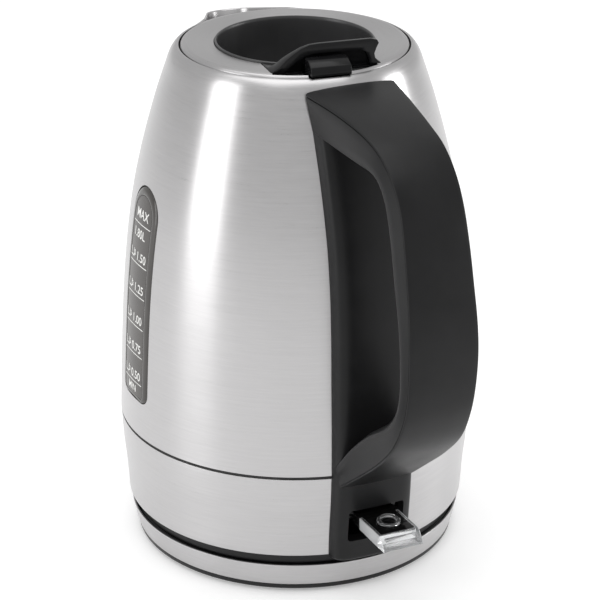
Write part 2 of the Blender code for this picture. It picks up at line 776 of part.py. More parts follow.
def switch_lever():
    """Clear paddle that is pressed down to switch on, with a dished front and ears at its shaft."""
    origin = (PIVOT_X, 0, PIVOT_Z)
    side = [(-68.8, 40.6), (-104.4, 41.6), (-105.8, 41.2), (-109.6, 37.4), (-109.4, 36.2), (-101.0, 35.6), (-68.8, 35.6)]
    lever = solid("switch_lever", extruded_y(side, -LEVER_HALF, LEVER_HALF), "clear", origin)
    dish = [(-105.0, 39.8), (-108.2, 36.8), (-114.0, 42.0), (-110.5, 45.5)]
    join(lever, block((-80.5, -12.6, 35.8), (-69.2, 12.6, 40.4)))
    cut(lever, extruded_y(dish, -LEVER_HALF + 1.4, LEVER_HALF - 1.4), lever_axle(1.6, 20.0))
    solid("lever_lens", rod(5.2, 41.95, 42.9, (-95.0, 0.0)), "clear", origin)
    solid("lever_shaft", lever_axle(1.5, 14.8), "screw_steel", origin)
    arm = [(-68.4, 40.4), (-63.5, 43.0), (-60.4, 47.0), (-59.0, 46.0), (-61.5, 41.0), (-65.5, 36.6), (-68.4, 36.0)]
    solid("trip_arm", extruded_y(arm, -3.0, 3.0), "gloss_black", origin)


def indicator_lamp():
    """Lamp under the paddle that lights it when the kettle is on."""
    solid("indicator_lamp", laid_along_x(rod(2.4, -66.0, -59.0, facets=16), y=8.0, z=31.5), "lamp_lens")


# ---------------------------------------------------------------- lid


def lid_frame():
    frame = bpy.data.objects.new("lid_frame", None)
    frame.rotation_euler.z = math.radians(LID_TURN)
    bpy.context.scene.collection.objects.link(frame)
    return frame


def wedge_plan(radius):
    """Plan of the finger recess between the bowl and the lid's edge."""
    outer = [circle_point(radius, a) for a in arc(151.5, 208.5, 8)]
    return [(-22.0, WEDGE_HALF)] + outer + [(-22.0, -WEDGE_HALF)]


def lid_plate(frame):
    """Steel ring on top of the lid with a rolled edge, open over the finger recess."""
    outline = [
        (BOWL_R + 0.1, 229.6),
        (46.8, 229.9),
        (48.6, 229.5),
        (LID_R, 228.5),
        (LID_R, 224.8),
        (LID_R - 0.7, 224.8),
        (LID_R - 0.7, 228.4),
        (46.4, 229.1),
        (BOWL_R + 0.1, 228.8),
    ]
    plate = solid("lid_plate", turned(outline), "brushed_steel", parent=frame)
    cut(plate, extruded_z(wedge_plan(LID_R - 1.1), 226.0, 235.0), block((-41.0, -24.8, 226.0), (-20.0, 23.4, 235.0)))
    cut(plate, block((-55, -LATCH_HALF - 0.5, 222.0), (-45, LATCH_HALF + 0.5, 235.0)))


def lid_bowl(frame):
    """Deep bowl with a flange under the steel ring and a raised lip over the finger recess."""
    low = RIM_Z - BOWL_DEPTH
    outside = [
        (0, low - 2.0),
        (20.5, low - 1.8),
        (28.0, low + 1.2),
        (32.4, low + 8.0),
        (34.2, low + 18.0),
        (35.0, FLANGE_TOP - 2.2),
        (47.8, FLANGE_TOP - 2.0),
        (47.8, FLANGE_TOP),
        (34.7, FLANGE_TOP),
        (34.7, 229.8),
        (34.3, 230.4),
        (0, 230.4),
    ]
    inside = [(0, low), (20.0, low + 0.3), (27.0, low + 3.0), (31.0, low + 9.5), (32.8, low + 19.0), (33.6, 229.8)]
    bowl = solid("lid_bowl", turned(outside), "satin_black", parent=frame)
    join(bowl, lid_lip())
    cut(bowl, turned(inside + [(33.8, 250.0), (0, 250.0)]), extruded_x(LIP_ARCH, -48.0, -36.6))
    cut(bowl, block((-50.0, -LATCH_HALF - 0.5, 224.0), (-36.8, LATCH_HALF + 0.5, 232.0)))


# The lip as (y, z): a long ramp on one side, a steep end on the other, and the arch under it
LIP_TOP = [(23.0, 229.6), (19.5, 231.6), (16.5, 234.6), (13.5, 236.8), (10.0, 238.9), (6.5, 240.2), (2.0, 240.5)]
LIP_TOP += [(-19.5, 240.5), (-22.3, 239.8), (-23.8, 238.0), (-24.2, 235.0), (-24.4, 229.6)]
LIP_ARCH = [(18.2, 228.9), (15.8, 230.6), (12.2, 233.6), (8.6, 236.0), (4.5, 237.1), (-18.6, 237.1), (-21.2, 236.2)]
LIP_ARCH += [(-22.2, 234.0), (-22.7, 228.9)]


def lid_lip():
    return extruded_x(LIP_TOP + [(-24.4, FLANGE_TOP - 0.6), (23.0, FLANGE_TOP - 0.6)], -40.6, -20.0)


def lid_underside(frame):
    """Inner cover of the lid, open in the middle for the bowl and at the side for the latch."""
    hole = 33.4
    outline = [
        (46.8, 224.4),
        (46.8, 213.0),
        (44.0, 208.6),
        (hole, 207.6),
        (hole, 209.0),
        (43.2, 210.0),
        (45.6, 213.6),
        (45.6, 224.4),
    ]
    cover = solid("lid_underside", turned(outline), "dark_grey", parent=frame)
    cut(cover, block((-52, -LATCH_HALF - 0.6, 214.0), (-44, LATCH_HALF + 0.6, 230.0)))
    for place in lid_screw_places():
        cut(cover, rod(1.8, 200, 216, place))


def lid_screw_places():
    return [circle_point(39.2, math.radians(a)) for a in (0, 120, 240)]


def lid_screws(frame):
    for i, place in enumerate(lid_screw_places()):
        screw(f"lid_screw_{i + 1}", place, 206.0, 12.0, frame)


def lid_gasket(frame):
    outline = [(49.4, 224.0), (49.2, 222.2), (47.1, 222.2), (47.1, 224.2)]
    solid("lid_gasket", turned(outline), "silicone", parent=frame)


def lid_latch(frame):
    """Push button in the finger recess: pinched towards the bowl, it draws its nose in."""
    side = [
        (-50.7, 229.6),
        (-50.4, 232.0),
        (-46.2, 235.0),
        (-41.6, 235.2),
        (-40.9, 234.4),
        (-40.9, 216.0),
        (-44.5, 216.0),
        (-44.5, 218.6),
        (-47.4, 219.4),
        (-47.4, 221.0),
        (-45.0, 222.4),
        (-45.0, 227.0),
        (-47.6, 229.6),
    ]
    solid("lid_latch", extruded_y(side, -LATCH_HALF, LATCH_HALF), "gloss_black", parent=frame)
    for name, y in (("latch_spring_left", -5.0), ("latch_spring_right", 5.0)):
        turns, steps, radius, start, end = 3, 6, 1.6, -40.2, -35.8
        path = []
        for k in range(turns * steps + 1):
            u, v = circle_point(radius, 2 * math.pi * k / steps)
            path.append((start + (end - start) * k / (turns * steps), y + u, 219.0 + v))
        solid(name, tube(path, 0.3, 3), "screw_steel", parent=frame)


# ---------------------------------------------------------------- whole kettle


def build():
    clear_scene()
    base_bottom_cover()
    base_feet()
    base_skirt_ring()
    base_top_plate()
    base_screws()
    cord_gland()
    connector_pillar()
    body_shell()
    lower_band()
    seam_ring()
    floor_plate()
    heater()
    thermostat()
    bottom_moulding()
    bottom_screws()
    steam_tube()
    lid_seat_ring()
    spout_filter()
    water_gauge()
    handle_body()
    handle_cover()
    handle_screws()
    switch_housing()
    switch_lever()
    indicator_lamp()
    frame = lid_frame()
    lid_plate(frame)
    lid_bowl(frame)
    lid_underside(frame)
    lid_screws(frame)
    lid_gasket(frame)
    lid_latch(frame)


build()
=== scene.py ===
"""Looks of the cordless kettle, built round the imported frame: Z up, spout +X, handle -X, water gauge +Y.

Lengths in the tables below are in millimetres, and MM turns them into metres.
"""

import json
import math

import bmesh
import bpy
import numpy as np
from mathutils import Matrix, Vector


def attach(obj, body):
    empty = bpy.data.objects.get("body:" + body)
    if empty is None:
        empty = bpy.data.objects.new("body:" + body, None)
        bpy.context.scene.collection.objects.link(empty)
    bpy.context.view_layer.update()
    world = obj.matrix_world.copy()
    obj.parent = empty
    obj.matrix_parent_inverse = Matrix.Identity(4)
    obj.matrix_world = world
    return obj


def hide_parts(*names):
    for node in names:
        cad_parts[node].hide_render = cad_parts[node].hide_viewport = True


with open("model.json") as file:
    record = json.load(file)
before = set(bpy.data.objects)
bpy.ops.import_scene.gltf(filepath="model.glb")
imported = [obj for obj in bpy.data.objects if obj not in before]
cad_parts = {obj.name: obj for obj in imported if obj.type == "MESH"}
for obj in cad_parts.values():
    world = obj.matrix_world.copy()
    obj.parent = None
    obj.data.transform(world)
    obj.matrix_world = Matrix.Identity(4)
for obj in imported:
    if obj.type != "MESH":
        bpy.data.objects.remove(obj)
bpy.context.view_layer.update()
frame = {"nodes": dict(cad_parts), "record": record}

MM = 0.001
TURN = 160  # facets of the turned pieces

# ---------------------------------------------------------------- shape of the jug, as radius at height

BAND = [(76.6, 19.5), (77.4, 32.8), (78.6, 45.2), (79.3, 58.0)]
JUG = [(79.4, 59.4), (78.3, 88.0), (76.1, 124.0), (72.6, 155.0), (68.1, 178.6), (61.2, 204.1), (54.9, 223.1)]
SHOULDER = [(53.9, 225.4), (52.9, 226.9), (51.9, 228.0), (51.0, 228.6), (50.1, 228.7)]
WALL = 0.8
NECK_R = 50.1
WELD = 1e-7  # metres within which points are one


def smooth_curve(knots, steps):
    """Points along a Catmull-Rom curve through the knots."""
    knots = [np.array(k, float) for k in knots]
    run = [2 * knots[0] - knots[1]] + knots + [2 * knots[-1] - knots[-2]]
    curve = []
    for a, b, c, d in zip(run, run[1:], run[2:], run[3:]):
        for i in range(steps):
            t = i / steps
            square, cube = 2 * a - 5 * b + 4 * c - d, 3 * b - a - 3 * c + d
            curve.append(0.5 * (2 * b + (c - a) * t + square * t**2 + cube * t**3))
    curve.append(knots[-1])
    return np.array(curve)


JUG_CURVE = smooth_curve(JUG, 9)
BAND_CURVE = smooth_curve(BAND, 5)
OUTSIDE = np.vstack([BAND_CURVE, JUG_CURVE, SHOULDER])


def outside_radius(z):
    return np.interp(z, OUTSIDE[:, 1], OUTSIDE[:, 0])


# ---------------------------------------------------------------- mesh helpers


def finished(obj, sharp=32.0):
    """Applies the object's modifiers and shades it smooth between its sharp edges."""
    graph = bpy.context.evaluated_depsgraph_get()
    graph.update()
    mesh = bpy.data.meshes.new_from_object(obj.evaluated_get(graph))
    obj.modifiers.clear()
    obj.data = mesh
    mesh.shade_smooth()
    mesh.set_sharp_from_angle(angle=math.radians(sharp))
    return obj


def raw(name, points, faces, material):
    """A mesh object from points in millimetres, welded, with its faces turned outwards."""
    mesh = bpy.data.meshes.new(name)
    mesh.from_pydata([tuple(np.asarray(p, float) * MM) for p in points], [], [tuple(f) for f in faces])
    work = bmesh.new()
    work.from_mesh(mesh)
    bmesh.ops.remove_doubles(work, verts=work.verts, dist=WELD)
    bmesh.ops.recalc_face_normals(work, faces=work.faces)
    work.to_mesh(mesh)
    work.free()
    if material:
        mesh.materials.append(material)
    obj = bpy.data.objects.new(name, mesh)
    bpy.context.scene.collection.objects.link(obj)
    return obj


def boolean(obj, operation, other):
    modifier = obj.modifiers.new(operation, "BOOLEAN")
    modifier.operation = operation
    modifier.object = other
    modifier.solver = "EXACT"


def bevel(obj, width, segments, angle=40.0):
    modifier = obj.modifiers.new("bevel", "BEVEL")
    modifier.width = width * MM
    modifier.segments = segments
    modifier.limit_method = "ANGLE"
    modifier.angle_limit = math.radians(angle)


def shown(obj, body, stands_for=(), sharp=32.0):
    """Finishes a piece and lets it ride on its body."""
    finished(obj, sharp)
    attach(obj, body)
    if stands_for:
        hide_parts(*stands_for)
    return obj


def carved(obj, *cutters, operation="DIFFERENCE"):
    """Cuts shapes from an object, or joins them, and removes the cutters."""
    for cutter in cutters:
        boolean(obj, operation, cutter)
    finished(obj)
    for cutter in cutters:
        bpy.data.objects.remove(cutter, do_unlink=True)
    return obj


def grid_faces(rows, columns, around, over=False):
    """Faces of a grid of points: around closes each row, over joins the last row to the first."""
    faces = []
    for i in range(rows if over else rows - 1):
        for j in range(columns if around else columns - 1):
            a, b = i * columns + j, i * columns + (j + 1) % columns
            c, d = ((i + 1) % rows) * columns + (j + 1) % columns, ((i + 1) % rows) * columns + j
            faces.append(tuple(dict.fromkeys((a, b, c, d))))
    return faces


def rounded(outline, radius):
    """An open outline whose inner corners are rounded."""
    steps = 3
    points = [np.array(p, float) for p in outline]
    out = [points[0]]
    for a, b, c in zip(points, points[1:], points[2:]):
        u, v = a - b, c - b
        lu, lv = np.linalg.norm(u), np.linalg.norm(v)
        if lu < 1e-6 or lv < 1e-6 or abs(np.dot(u, v) / (lu * lv) + 1) < 1e-3:
            out.append(b)
            continue
        cut = min(radius, 0.45 * lu, 0.45 * lv)
        start, end = b + u / lu * cut, b + v / lv * cut
        for k in range(steps + 1):
            t = k / steps
            out.append((1 - t) ** 2 * start + 2 * t * (1 - t) * b + t**2 * end)
    return out + [points[-1]]


def lathe(name, outline, material, facets=TURN, corner=0.35, centre=(0.0, 0.0)):
    """A closed (radius, z) outline turned about a vertical axis, with its corners rounded."""
    outline = [tuple(p) for p in outline]
    if corner and outline[0][0] > 0:
        middle = tuple((np.array(outline[0]) + np.array(outline[-1])) / 2)
        outline = rounded([middle] + outline + [middle], corner)[:-1]
    elif corner:
        outline = rounded(outline, corner)
    points = []
    for r, z in outline:
        for k in range(facets):
            a = 2 * math.pi * k / facets
            points.append((centre[0] + r * math.cos(a), centre[1] + r * math.sin(a), z))
    return raw(name, points, grid_faces(len(outline), facets, True, True), material)


def loft(name, loops, material):
    """A skin over equal closed loops, with both ends closed."""
    rows, columns = len(loops), len(loops[0])
    faces = grid_faces(rows, columns, True)
    faces += [tuple(range(columns)), tuple((rows - 1) * columns + i for i in range(columns))]
    return raw(name, [p for loop in loops for p in loop], faces, material)


def prism(name, outline, axis, low, high, material=None):
    """A flat outline stretched along an axis: (y, z) along X, (x, z) along Y, (x, y) along Z."""
    spot = "XYZ".index(axis)
    return loft(name, [[(*p[:spot], w, *p[spot:]) for p in outline] for w in (low, high)], material)


def box(name, low, high, material=None):
    corners = [(low[0], low[1]), (high[0], low[1]), (high[0], high[1]), (low[0], high[1])]
    return prism(name, corners, "Z", low[2], high[2], material)


# ---------------------------------------------------------------- materials


class Nodes:
    """A material's node tree, with short ways to add nodes to it."""

    def __init__(self, name):
        self.material = bpy.data.materials.new(name)
        self.material.use_nodes = True
        self.tree = self.material.node_tree
        self.shader = self.tree.nodes["Principled BSDF"]

    def add(self, kind, **settings):
        node = self.tree.nodes.new(kind)
        for key, value in settings.items():
            setattr(node, key, value)
        return node

    def link(self, source, target):
        self.tree.links.new(source, target)

    def number(self, operation, first, second=0.0):
        node = self.add("ShaderNodeMath", operation=operation)
        for socket, value in zip(node.inputs, (first, second)):
            if isinstance(value, (int, float)):
                socket.default_value = value
            else:
                self.link(value, socket)
        return node.outputs[0]

    def parts(self, vector):
        """X, Y and Z of a vector, by name."""
        node = self.add("ShaderNodeSeparateXYZ")
        self.link(vector, node.inputs[0])
        return node.outputs

    def into(self, value, name):
        """Feeds a value to one of the shader's inputs."""
        self.link(value, self.shader.inputs[name])

    def place(self):
        return self.add("ShaderNodeTexCoord").outputs["Object"]

    def noise(self, vector, scale, detail, rough=0.55):
        node = self.add("ShaderNodeTexNoise")
        node.inputs["Scale"].default_value = scale
        node.inputs["Detail"].default_value = detail
        node.inputs["Roughness"].default_value = rough
        self.link(vector, node.inputs["Vector"])
        return node.outputs["Fac"]

    def spread(self, value, low, high, start=0.3, end=0.7):
        """Maps a value that runs from start to end onto low to high."""
        node = self.add("ShaderNodeMapRange")
        self.link(value, node.inputs["Value"])
        for key, number in (("From Min", start), ("From Max", end), ("To Min", low), ("To Max", high)):
            node.inputs[key].default_value = number
        return node.outputs["Result"]

    def between(self, value, dark, light):
        """A colour between two, by a value's middle half."""
        node = self.add("ShaderNodeValToRGB")
        node.color_ramp.elements[0].color = (*dark, 1)
        node.color_ramp.elements[1].color = (*light, 1)
        node.color_ramp.elements[0].position = 0.25
        node.color_ramp.elements[1].position = 0.75
        self.link(value, node.inputs["Fac"])
        return node.outputs["Color"]

    def bump(self, height, strength, distance):
        node = self.add("ShaderNodeBump")
        node.inputs["Strength"].default_value = strength
        node.inputs["Distance"].default_value = distance
        self.link(height, node.inputs["Height"])
        self.into(node.outputs["Normal"], "Normal")

    def fixed(self, **values):
        """Sets shader inputs, named with _ for each space."""
        for key, value in values.items():
            self.shader.inputs[key.replace("_", " ")].default_value = value


def brushed_steel(name, dark, light, rough=(0.26, 0.36), flat=False, bump=0.10):
    """Stainless steel brushed in rings round the axis.

    On a flat ring the lines follow the radius instead of the height.
    """
    made = Nodes(name)
    xyz = made.parts(made.place())
    angle = made.number("ARCTAN2", xyz["Y"], xyz["X"])
    if flat:
        squares = made.number("MULTIPLY", xyz["X"], xyz["X"])
        squares = made.number("ADD", squares, made.number("MULTIPLY", xyz["Y"], xyz["Y"]))
        across = made.number("SQRT", squares)
    else:
        across = xyz["Z"]

    def lines(per_radian, per_metre):
        vector = made.add("ShaderNodeCombineXYZ")
        made.link(made.number("MULTIPLY", angle, per_radian), vector.inputs["X"])
        made.link(made.number("MULTIPLY", across, per_metre), vector.inputs["Y"])
        return vector.outputs[0]

    fine = made.noise(lines(7.0, 5200.0), 1.0, 4.0, 0.7)
    broad = made.noise(lines(2.0, 900.0), 1.0, 3.0, 0.6)
    cloud = made.noise(made.place(), 18.0, 2.0)
    both = made.number("ADD", made.number("MULTIPLY", fine, 0.6), made.number("MULTIPLY", broad, 0.4))
    tone = made.number("ADD", made.number("MULTIPLY", both, 0.85), made.number("MULTIPLY", cloud, 0.15))
    made.into(made.between(tone, dark, light), "Base Color")
    made.into(made.spread(both, *rough), "Roughness")
    made.fixed(Metallic=1.0, Anisotropic=0.75, Anisotropic_Rotation=0.25)
    tangent = made.add("ShaderNodeTangent", direction_type="RADIAL", axis="Z")
    made.into(tangent.outputs[0], "Tangent")
    made.bump(both, bump, 0.00012)
    return made.material


def moulded(name, dark, light, rough, grain=2600.0, bump=0.12, level=0.5):
    """Injection-moulded plastic with a fine spark-eroded grain and slightly uneven gloss."""
    made = Nodes(name)
    place = made.place()
    fine = made.noise(place, grain, 2.0, 0.5)
    broad = made.noise(place, 60.0, 3.0)
    made.into(made.between(broad, dark, light), "Base Color")
    mixed = made.number("ADD", made.number("MULTIPLY", fine, 0.5), made.number("MULTIPLY", broad, 0.5))
    made.into(made.spread(mixed, *rough), "Roughness")
    made.fixed(Specular_IOR_Level=level)
    made.bump(fine, bump, 0.00008)
    return made.material


# where the lever's clear plastic changes, each from and to, in metres on the object's axes
LEVER_SIDE, LEVER_FRONT = (0.0088, 0.0091), (-0.1062, -0.1052)
# the root and top spans bound painted shade: the lever is painted dark there for the shadowed slot behind it
LEVER_ROOT_SHADE = (-0.0868, -0.0855)
LEVER_TOP_SHADE, LEVER_TOP_SHADE_SIDE, LEVER_TOP_SHADE_FRONT = (0.0401, 0.0403), (0.0079, 0.0082), (-0.1042, -0.1037)


def clear_plastic(name, tint, rough, weight, lever=False):
    """Clear polycarbonate with faint moulding marks.

    The lever's has frosted sides and a frosted front, and its root and the part under its top are painted
    dark as painted shade, for the shadowed slot that shows there through the clear plastic.
    """
    made = Nodes(name)
    marks = made.noise(made.place(), 320.0, 2.0)
    made.into(made.spread(marks, *rough), "Roughness")
    made.into(made.between(marks, tuple(c * 0.94 for c in tint), tint), "Base Color")
    made.fixed(Transmission_Weight=weight, IOR=1.49)
    if lever:
        made.fixed(Specular_IOR_Level=0.25)
        xyz = made.parts(made.place())
        across = made.number("ABSOLUTE", xyz["Y"])
        side = made.spread(across, 0.0, 0.4, *LEVER_SIDE)
        front = made.spread(xyz["X"], 0.16, 0.0, *LEVER_FRONT)
        root = made.spread(xyz["X"], 0.0, 1.0, *LEVER_ROOT_SHADE)
        top = made.spread(xyz["Z"], 0.0, 1.0, *LEVER_TOP_SHADE)
        top = made.number("MULTIPLY", top, made.spread(across, 1.0, 0.0, *LEVER_TOP_SHADE_SIDE))
        top = made.number("MULTIPLY", top, made.spread(xyz["X"], 0.0, 1.0, *LEVER_TOP_SHADE_FRONT))
        # painted shade: dark colour and no transmission at the root and under the top, for the shadowed slot
        # seen through the plastic
        painted_shade = made.number("MAXIMUM", root, top)
        frost = made.number("MAXIMUM", made.number("MAXIMUM", side, front), painted_shade)
        made.into(made.spread(frost, weight, 0.0, 0.0, 1.0), "Transmission Weight")
        shade = made.number("ADD", made.number("MULTIPLY", painted_shade, 0.8), made.number("MULTIPLY", marks, 0.2))
        made.into(made.between(shade, tint, (0.006, 0.006, 0.006)), "Base Color")
    made.bump(marks, 0.06, 0.0002)
    return made.material


def plain_metal(name, dark, light, rough):
    made = Nodes(name)
    patch = made.noise(made.place(), 420.0, 3.0)
    made.into(made.between(patch, dark, light), "Base Color")
    made.into(made.spread(patch, *rough), "Roughness")
    made.fixed(Metallic=1.0)
    made.bump(patch, 0.08, 0.0001)
    return made.material


def printed(name, colour):
    made = Nodes(name)
    patch = made.noise(made.place(), 1500.0, 2.0)
    made.into(made.between(patch, tuple(c * 0.9 for c in colour), colour), "Base Color")
    made.into(made.spread(patch, 0.4, 0.55), "Roughness")
    return made.material


STEEL_TONES = (0.445, 0.439, 0.442), (0.565, 0.558, 0.561)
STEEL = brushed_steel("jug_steel", *STEEL_TONES)
BAND_STEEL = brushed_steel("band_steel", *STEEL_TONES)
LID_STEEL = brushed_steel("lid_steel", (0.42, 0.415, 0.418), (0.54, 0.534, 0.537), flat=True)
INNER_STEEL = brushed_steel("inner_steel", (0.45, 0.445, 0.44), (0.58, 0.575, 0.57), (0.35, 0.5), bump=0.05)
BLACK_TONES = (0.006, 0.006, 0.0065), (0.010, 0.010, 0.0105)
BLACK = moulded("satin_black_plastic", *BLACK_TONES, (0.34, 0.44), level=0.3)
HANDLE_TONES = (0.007, 0.007, 0.0075), (0.011, 0.011, 0.0115)
HANDLE_BLACK = moulded("handle_black_plastic", *HANDLE_TONES, (0.33, 0.42), 2200.0, level=0.22)
BOWL_BLACK = moulded("lid_bowl_plastic", (0.032, 0.032, 0.033), (0.044, 0.044, 0.045), (0.3, 0.4))
GLOSS_TONES = (0.005, 0.005, 0.0055), (0.008, 0.008, 0.0085)
GLOSS = moulded("gloss_black_plastic", *GLOSS_TONES, (0.14, 0.22), bump=0.03, level=0.2)
GREY = moulded("dark_grey_plastic", (0.03, 0.03, 0.031), (0.045, 0.045, 0.046), (0.45, 0.6))
FRAME_TONES = (0.045, 0.042, 0.039), (0.065, 0.061, 0.057)
BEZEL = moulded("gauge_frame_plastic", *FRAME_TONES, (0.14, 0.2), bump=0.02)
RUBBER = moulded("black_rubber", (0.012, 0.012, 0.012), (0.022, 0.022, 0.022), (0.7, 0.85), 900.0, 0.2)
SILICONE = moulded("grey_silicone", (0.26, 0.26, 0.25), (0.34, 0.34, 0.33), (0.5, 0.65), 700.0, 0.08)
SMOKED_TONES = (0.028, 0.024, 0.021), (0.045, 0.039, 0.034)
SMOKED = moulded("smoked_window_plastic", *SMOKED_TONES, (0.1, 0.16), bump=0.02)
CLEAR_LOOK = (0.93, 0.94, 0.95), (0.04, 0.09), 0.96
CLEAR = clear_plastic("clear_polycarbonate", *CLEAR_LOOK)
LEVER_CLEAR = clear_plastic("lever_polycarbonate", *CLEAR_LOOK, lever=True)
LAMP = clear_plastic("lamp_red_plastic", (0.7, 0.12, 0.08), (0.15, 0.25), 0.4)
BRASS = plain_metal("contact_brass", (0.62, 0.42, 0.16), (0.78, 0.56, 0.25), (0.22, 0.38))
ALUMINIUM = plain_metal("pressed_aluminium", (0.66, 0.66, 0.67), (0.8, 0.8, 0.81), (0.35, 0.5))
SCREW = plain_metal("screw_steel_plain", (0.45, 0.45, 0.45), (0.6, 0.6, 0.6), (0.25, 0.4))
PRINT = printed("white_print", (0.78, 0.78, 0.76))

BY_SLOT = {
    "brushed_steel": INNER_STEEL,
    "satin_black": BLACK,
    "gloss_black": GLOSS,
    "dark_grey": GREY,
    "rubber": RUBBER,
    "silicone": SILICONE,
    "brass": BRASS,
    "aluminium": ALUMINIUM,
    "screw_steel": SCREW,
    "smoked_clear": SMOKED,
    "clear": CLEAR,
    "grey_plastic": BEZEL,
    "lamp_lens": LAMP,
}


def paint_cad():
    """Every CAD node that stays gets the full material of its slot."""
    slots = {p["node"]: p["material_slot"] for p in frame["record"]["subparts"]}
    for name, obj in frame["nodes"].items():
        for place in obj.material_slots:
            place.link = "OBJECT"
            place.material = BY_SLOT[slots[name]]


# ---------------------------------------------------------------- spout

SPOUT_TIP, SPOUT_ROOT, SPOUT_RIM, RIM_SLOPE = 80.0, 175.0, 221.5, 0.22
BEAK_WALL = 1.3
BEAK_SPREAD = 33  # degrees each way from the spout's direction
BEAK_BELOW = 3.0  # how far the beak's shell starts under its root
RIM_WALL_R, RIM_HIGHEST = 53.2, 228.0  # the wall's radius at the rim, and the height the rim stays under
SUNK = 0.03  # how far the shell lies under the jug's surface
BEAK_FILLET = 2.2
ROOT_INSIDE = 2.5  # how far the nose lies inside the wall at the root
# the nose's radius and the flanks' distance from the middle, each at the root and what is added at the rim
NOSE_R, FLANK_HALF = (3.0, 8.5), (5.0, 16.0)


def beak_radius(angle, z):
    """Distance from the axis to the beak's outside along a direction, at a height.

    The beak is a round nose between straight flanks.
    """
    rise = np.clip((z - SPOUT_ROOT) / (SPOUT_RIM - SPOUT_ROOT), 0.0, 1.0)
    wall = outside_radius(min(z, SPOUT_RIM))
    reach = wall - ROOT_INSIDE + (SPOUT_TIP - RIM_WALL_R) * rise**1.35
    nose, half = NOSE_R[0] + NOSE_R[1] * rise, FLANK_HALF[0] + FLANK_HALF[1] * rise
    centre = reach - nose
    root = np.array([math.sqrt(wall**2 - half**2) - 0.5, half])
    # the flank is the line from the root that touches the nose circle
    gap = root - np.array([centre, 0.0])
    far = np.hypot(*gap)
    lean = math.atan2(gap[1], gap[0]) - math.acos(min(nose / far, 1.0))
    normal = np.array([math.cos(lean), math.sin(lean)])
    offset = normal @ np.array([centre, 0.0]) + nose
    a = np.abs(angle)
    flank = offset / np.maximum(np.cos(a) * normal[0] + np.sin(a) * normal[1], 1e-3)
    inside = np.maximum(nose**2 - (centre * np.sin(a)) ** 2, 0.0)
    round_part = centre * np.cos(a) + np.sqrt(inside)
    touch = math.atan2(nose * math.sin(lean), centre + nose * math.cos(lean))
    edge = math.atan2(root[1], root[0])
    under = np.hypot(*root) - 25.0 * (a - edge)
    return np.where(a < touch, round_part, np.where(a < edge, flank, under))


def beak_outside(angle, z):
    """Beak and jug wall together, with a fillet between them."""
    wall, beak = outside_radius(z), beak_radius(angle, z)
    blend = np.maximum(BEAK_FILLET - np.abs(beak - wall), 0.0) / BEAK_FILLET
    return np.maximum(beak, wall) + blend**2 * BEAK_FILLET * 0.25 - SUNK


def spout():
    """The beak as a shell that lies just under the jug's surface beyond its fillets."""
    angles = np.radians(np.linspace(-BEAK_SPREAD, BEAK_SPREAD, 89))
    top = []
    for a in angles:
        forward = max(float(beak_outside(a, SPOUT_RIM + 3.0)) * math.cos(a), 50.0)
        top.append(min(SPOUT_RIM + (SPOUT_TIP - forward) * RIM_SLOPE, RIM_HIGHEST))
    top = np.array(top)
    height = top - SPOUT_ROOT + BEAK_BELOW
    rows = []
    for t in np.linspace(0, 1, 46):
        z = SPOUT_ROOT - BEAK_BELOW + height * t
        rows.append([(float(beak_outside(a, h)), h) for a, h in zip(angles, z)])
    outer = rows[-1]
    for inset, lift in ((0.25, 0.35), (0.65, 0.5), (1.05, 0.35)):
        rows.append([(r - inset, z + lift) for r, z in outer])
    for t in np.linspace(0, 1, 30):
        z = top - height * t
        rows.append([(float(beak_outside(a, h)) - BEAK_WALL, h) for a, h in zip(angles, z)])
    points = [(r * math.cos(a), r * math.sin(a), z) for row in rows for (r, z), a in zip(row, angles)]
    faces = grid_faces(len(rows), len(angles), False, True)
    for j in (0, len(angles) - 1):
        faces.append(tuple(i * len(angles) + j for i in range(len(rows))))
    shown(raw("spout_beak", points, faces, STEEL), "kettle", sharp=50.0)


# ---------------------------------------------------------------- gauge

GAUGE_LOW, GAUGE_HIGH, GAUGE_TOP_R, GAUGE_FOOT, GAUGE_CORNER = 75.6, 173.4, 13.2, 13.4, 5.5
FOOT_SHARE, LEAST_CORNER = 0.55, 1.2  # what the foot rises of an inset, and the smallest corner
PANE_INSET, PANE_FRONT, PANE_BACK = 4.25, 0.42, -1.7
PRINT_OFFSET, PRINT_THICK = 0.46, 0.06


def gauge_measures(inset):
    """Low end, corner radius, height of the top arc's centre, and top radius, drawn in by an inset."""
    low, corner = GAUGE_LOW + inset * FOOT_SHARE, max(GAUGE_CORNER - inset, LEAST_CORNER)
    return low, corner, GAUGE_HIGH - GAUGE_TOP_R, GAUGE_TOP_R - inset


def gauge_half(z, inset):
    """Half-width of the gauge's outline at a height."""
    low, corner, shoulder, top_r = gauge_measures(inset)
    foot = GAUGE_FOOT - inset
    if z > shoulder:
        return math.sqrt(max(top_r**2 - (z - shoulder) ** 2, 0.0))
    straight = foot + (top_r - foot) * (z - low) / (shoulder - low)
    if z < low + corner:
        return straight - corner + math.sqrt(max(corner**2 - (low + corner - z) ** 2, 0.0))
    return straight


def gauge_outline(inset):
    """Half outline from the bottom middle to the top middle, then its mirror image."""
    low, corner, shoulder, top_r = gauge_measures(inset)
    heights = [low + corner * (1 - math.cos(t)) for t in np.linspace(0, math.pi / 2, 7)]
    heights += list(np.linspace(low + corner, shoulder, 24))[1:-1]
    heights += [shoulder + top_r * math.sin(t) for t in np.linspace(0, math.pi / 2, 15)]
    half = [(gauge_half(z, inset), z) for z in heights]
    half[-1] = (0.0, GAUGE_HIGH - inset)
    return half + [(-x, z) for x, z in reversed(half[:-1])]


def on_jug(x, z, offset):
    """A point drawn flat from the gauge's side, laid on the jug's wall at an offset from it."""
    return x, math.sqrt((outside_radius(z) + offset) ** 2 - x**2), z


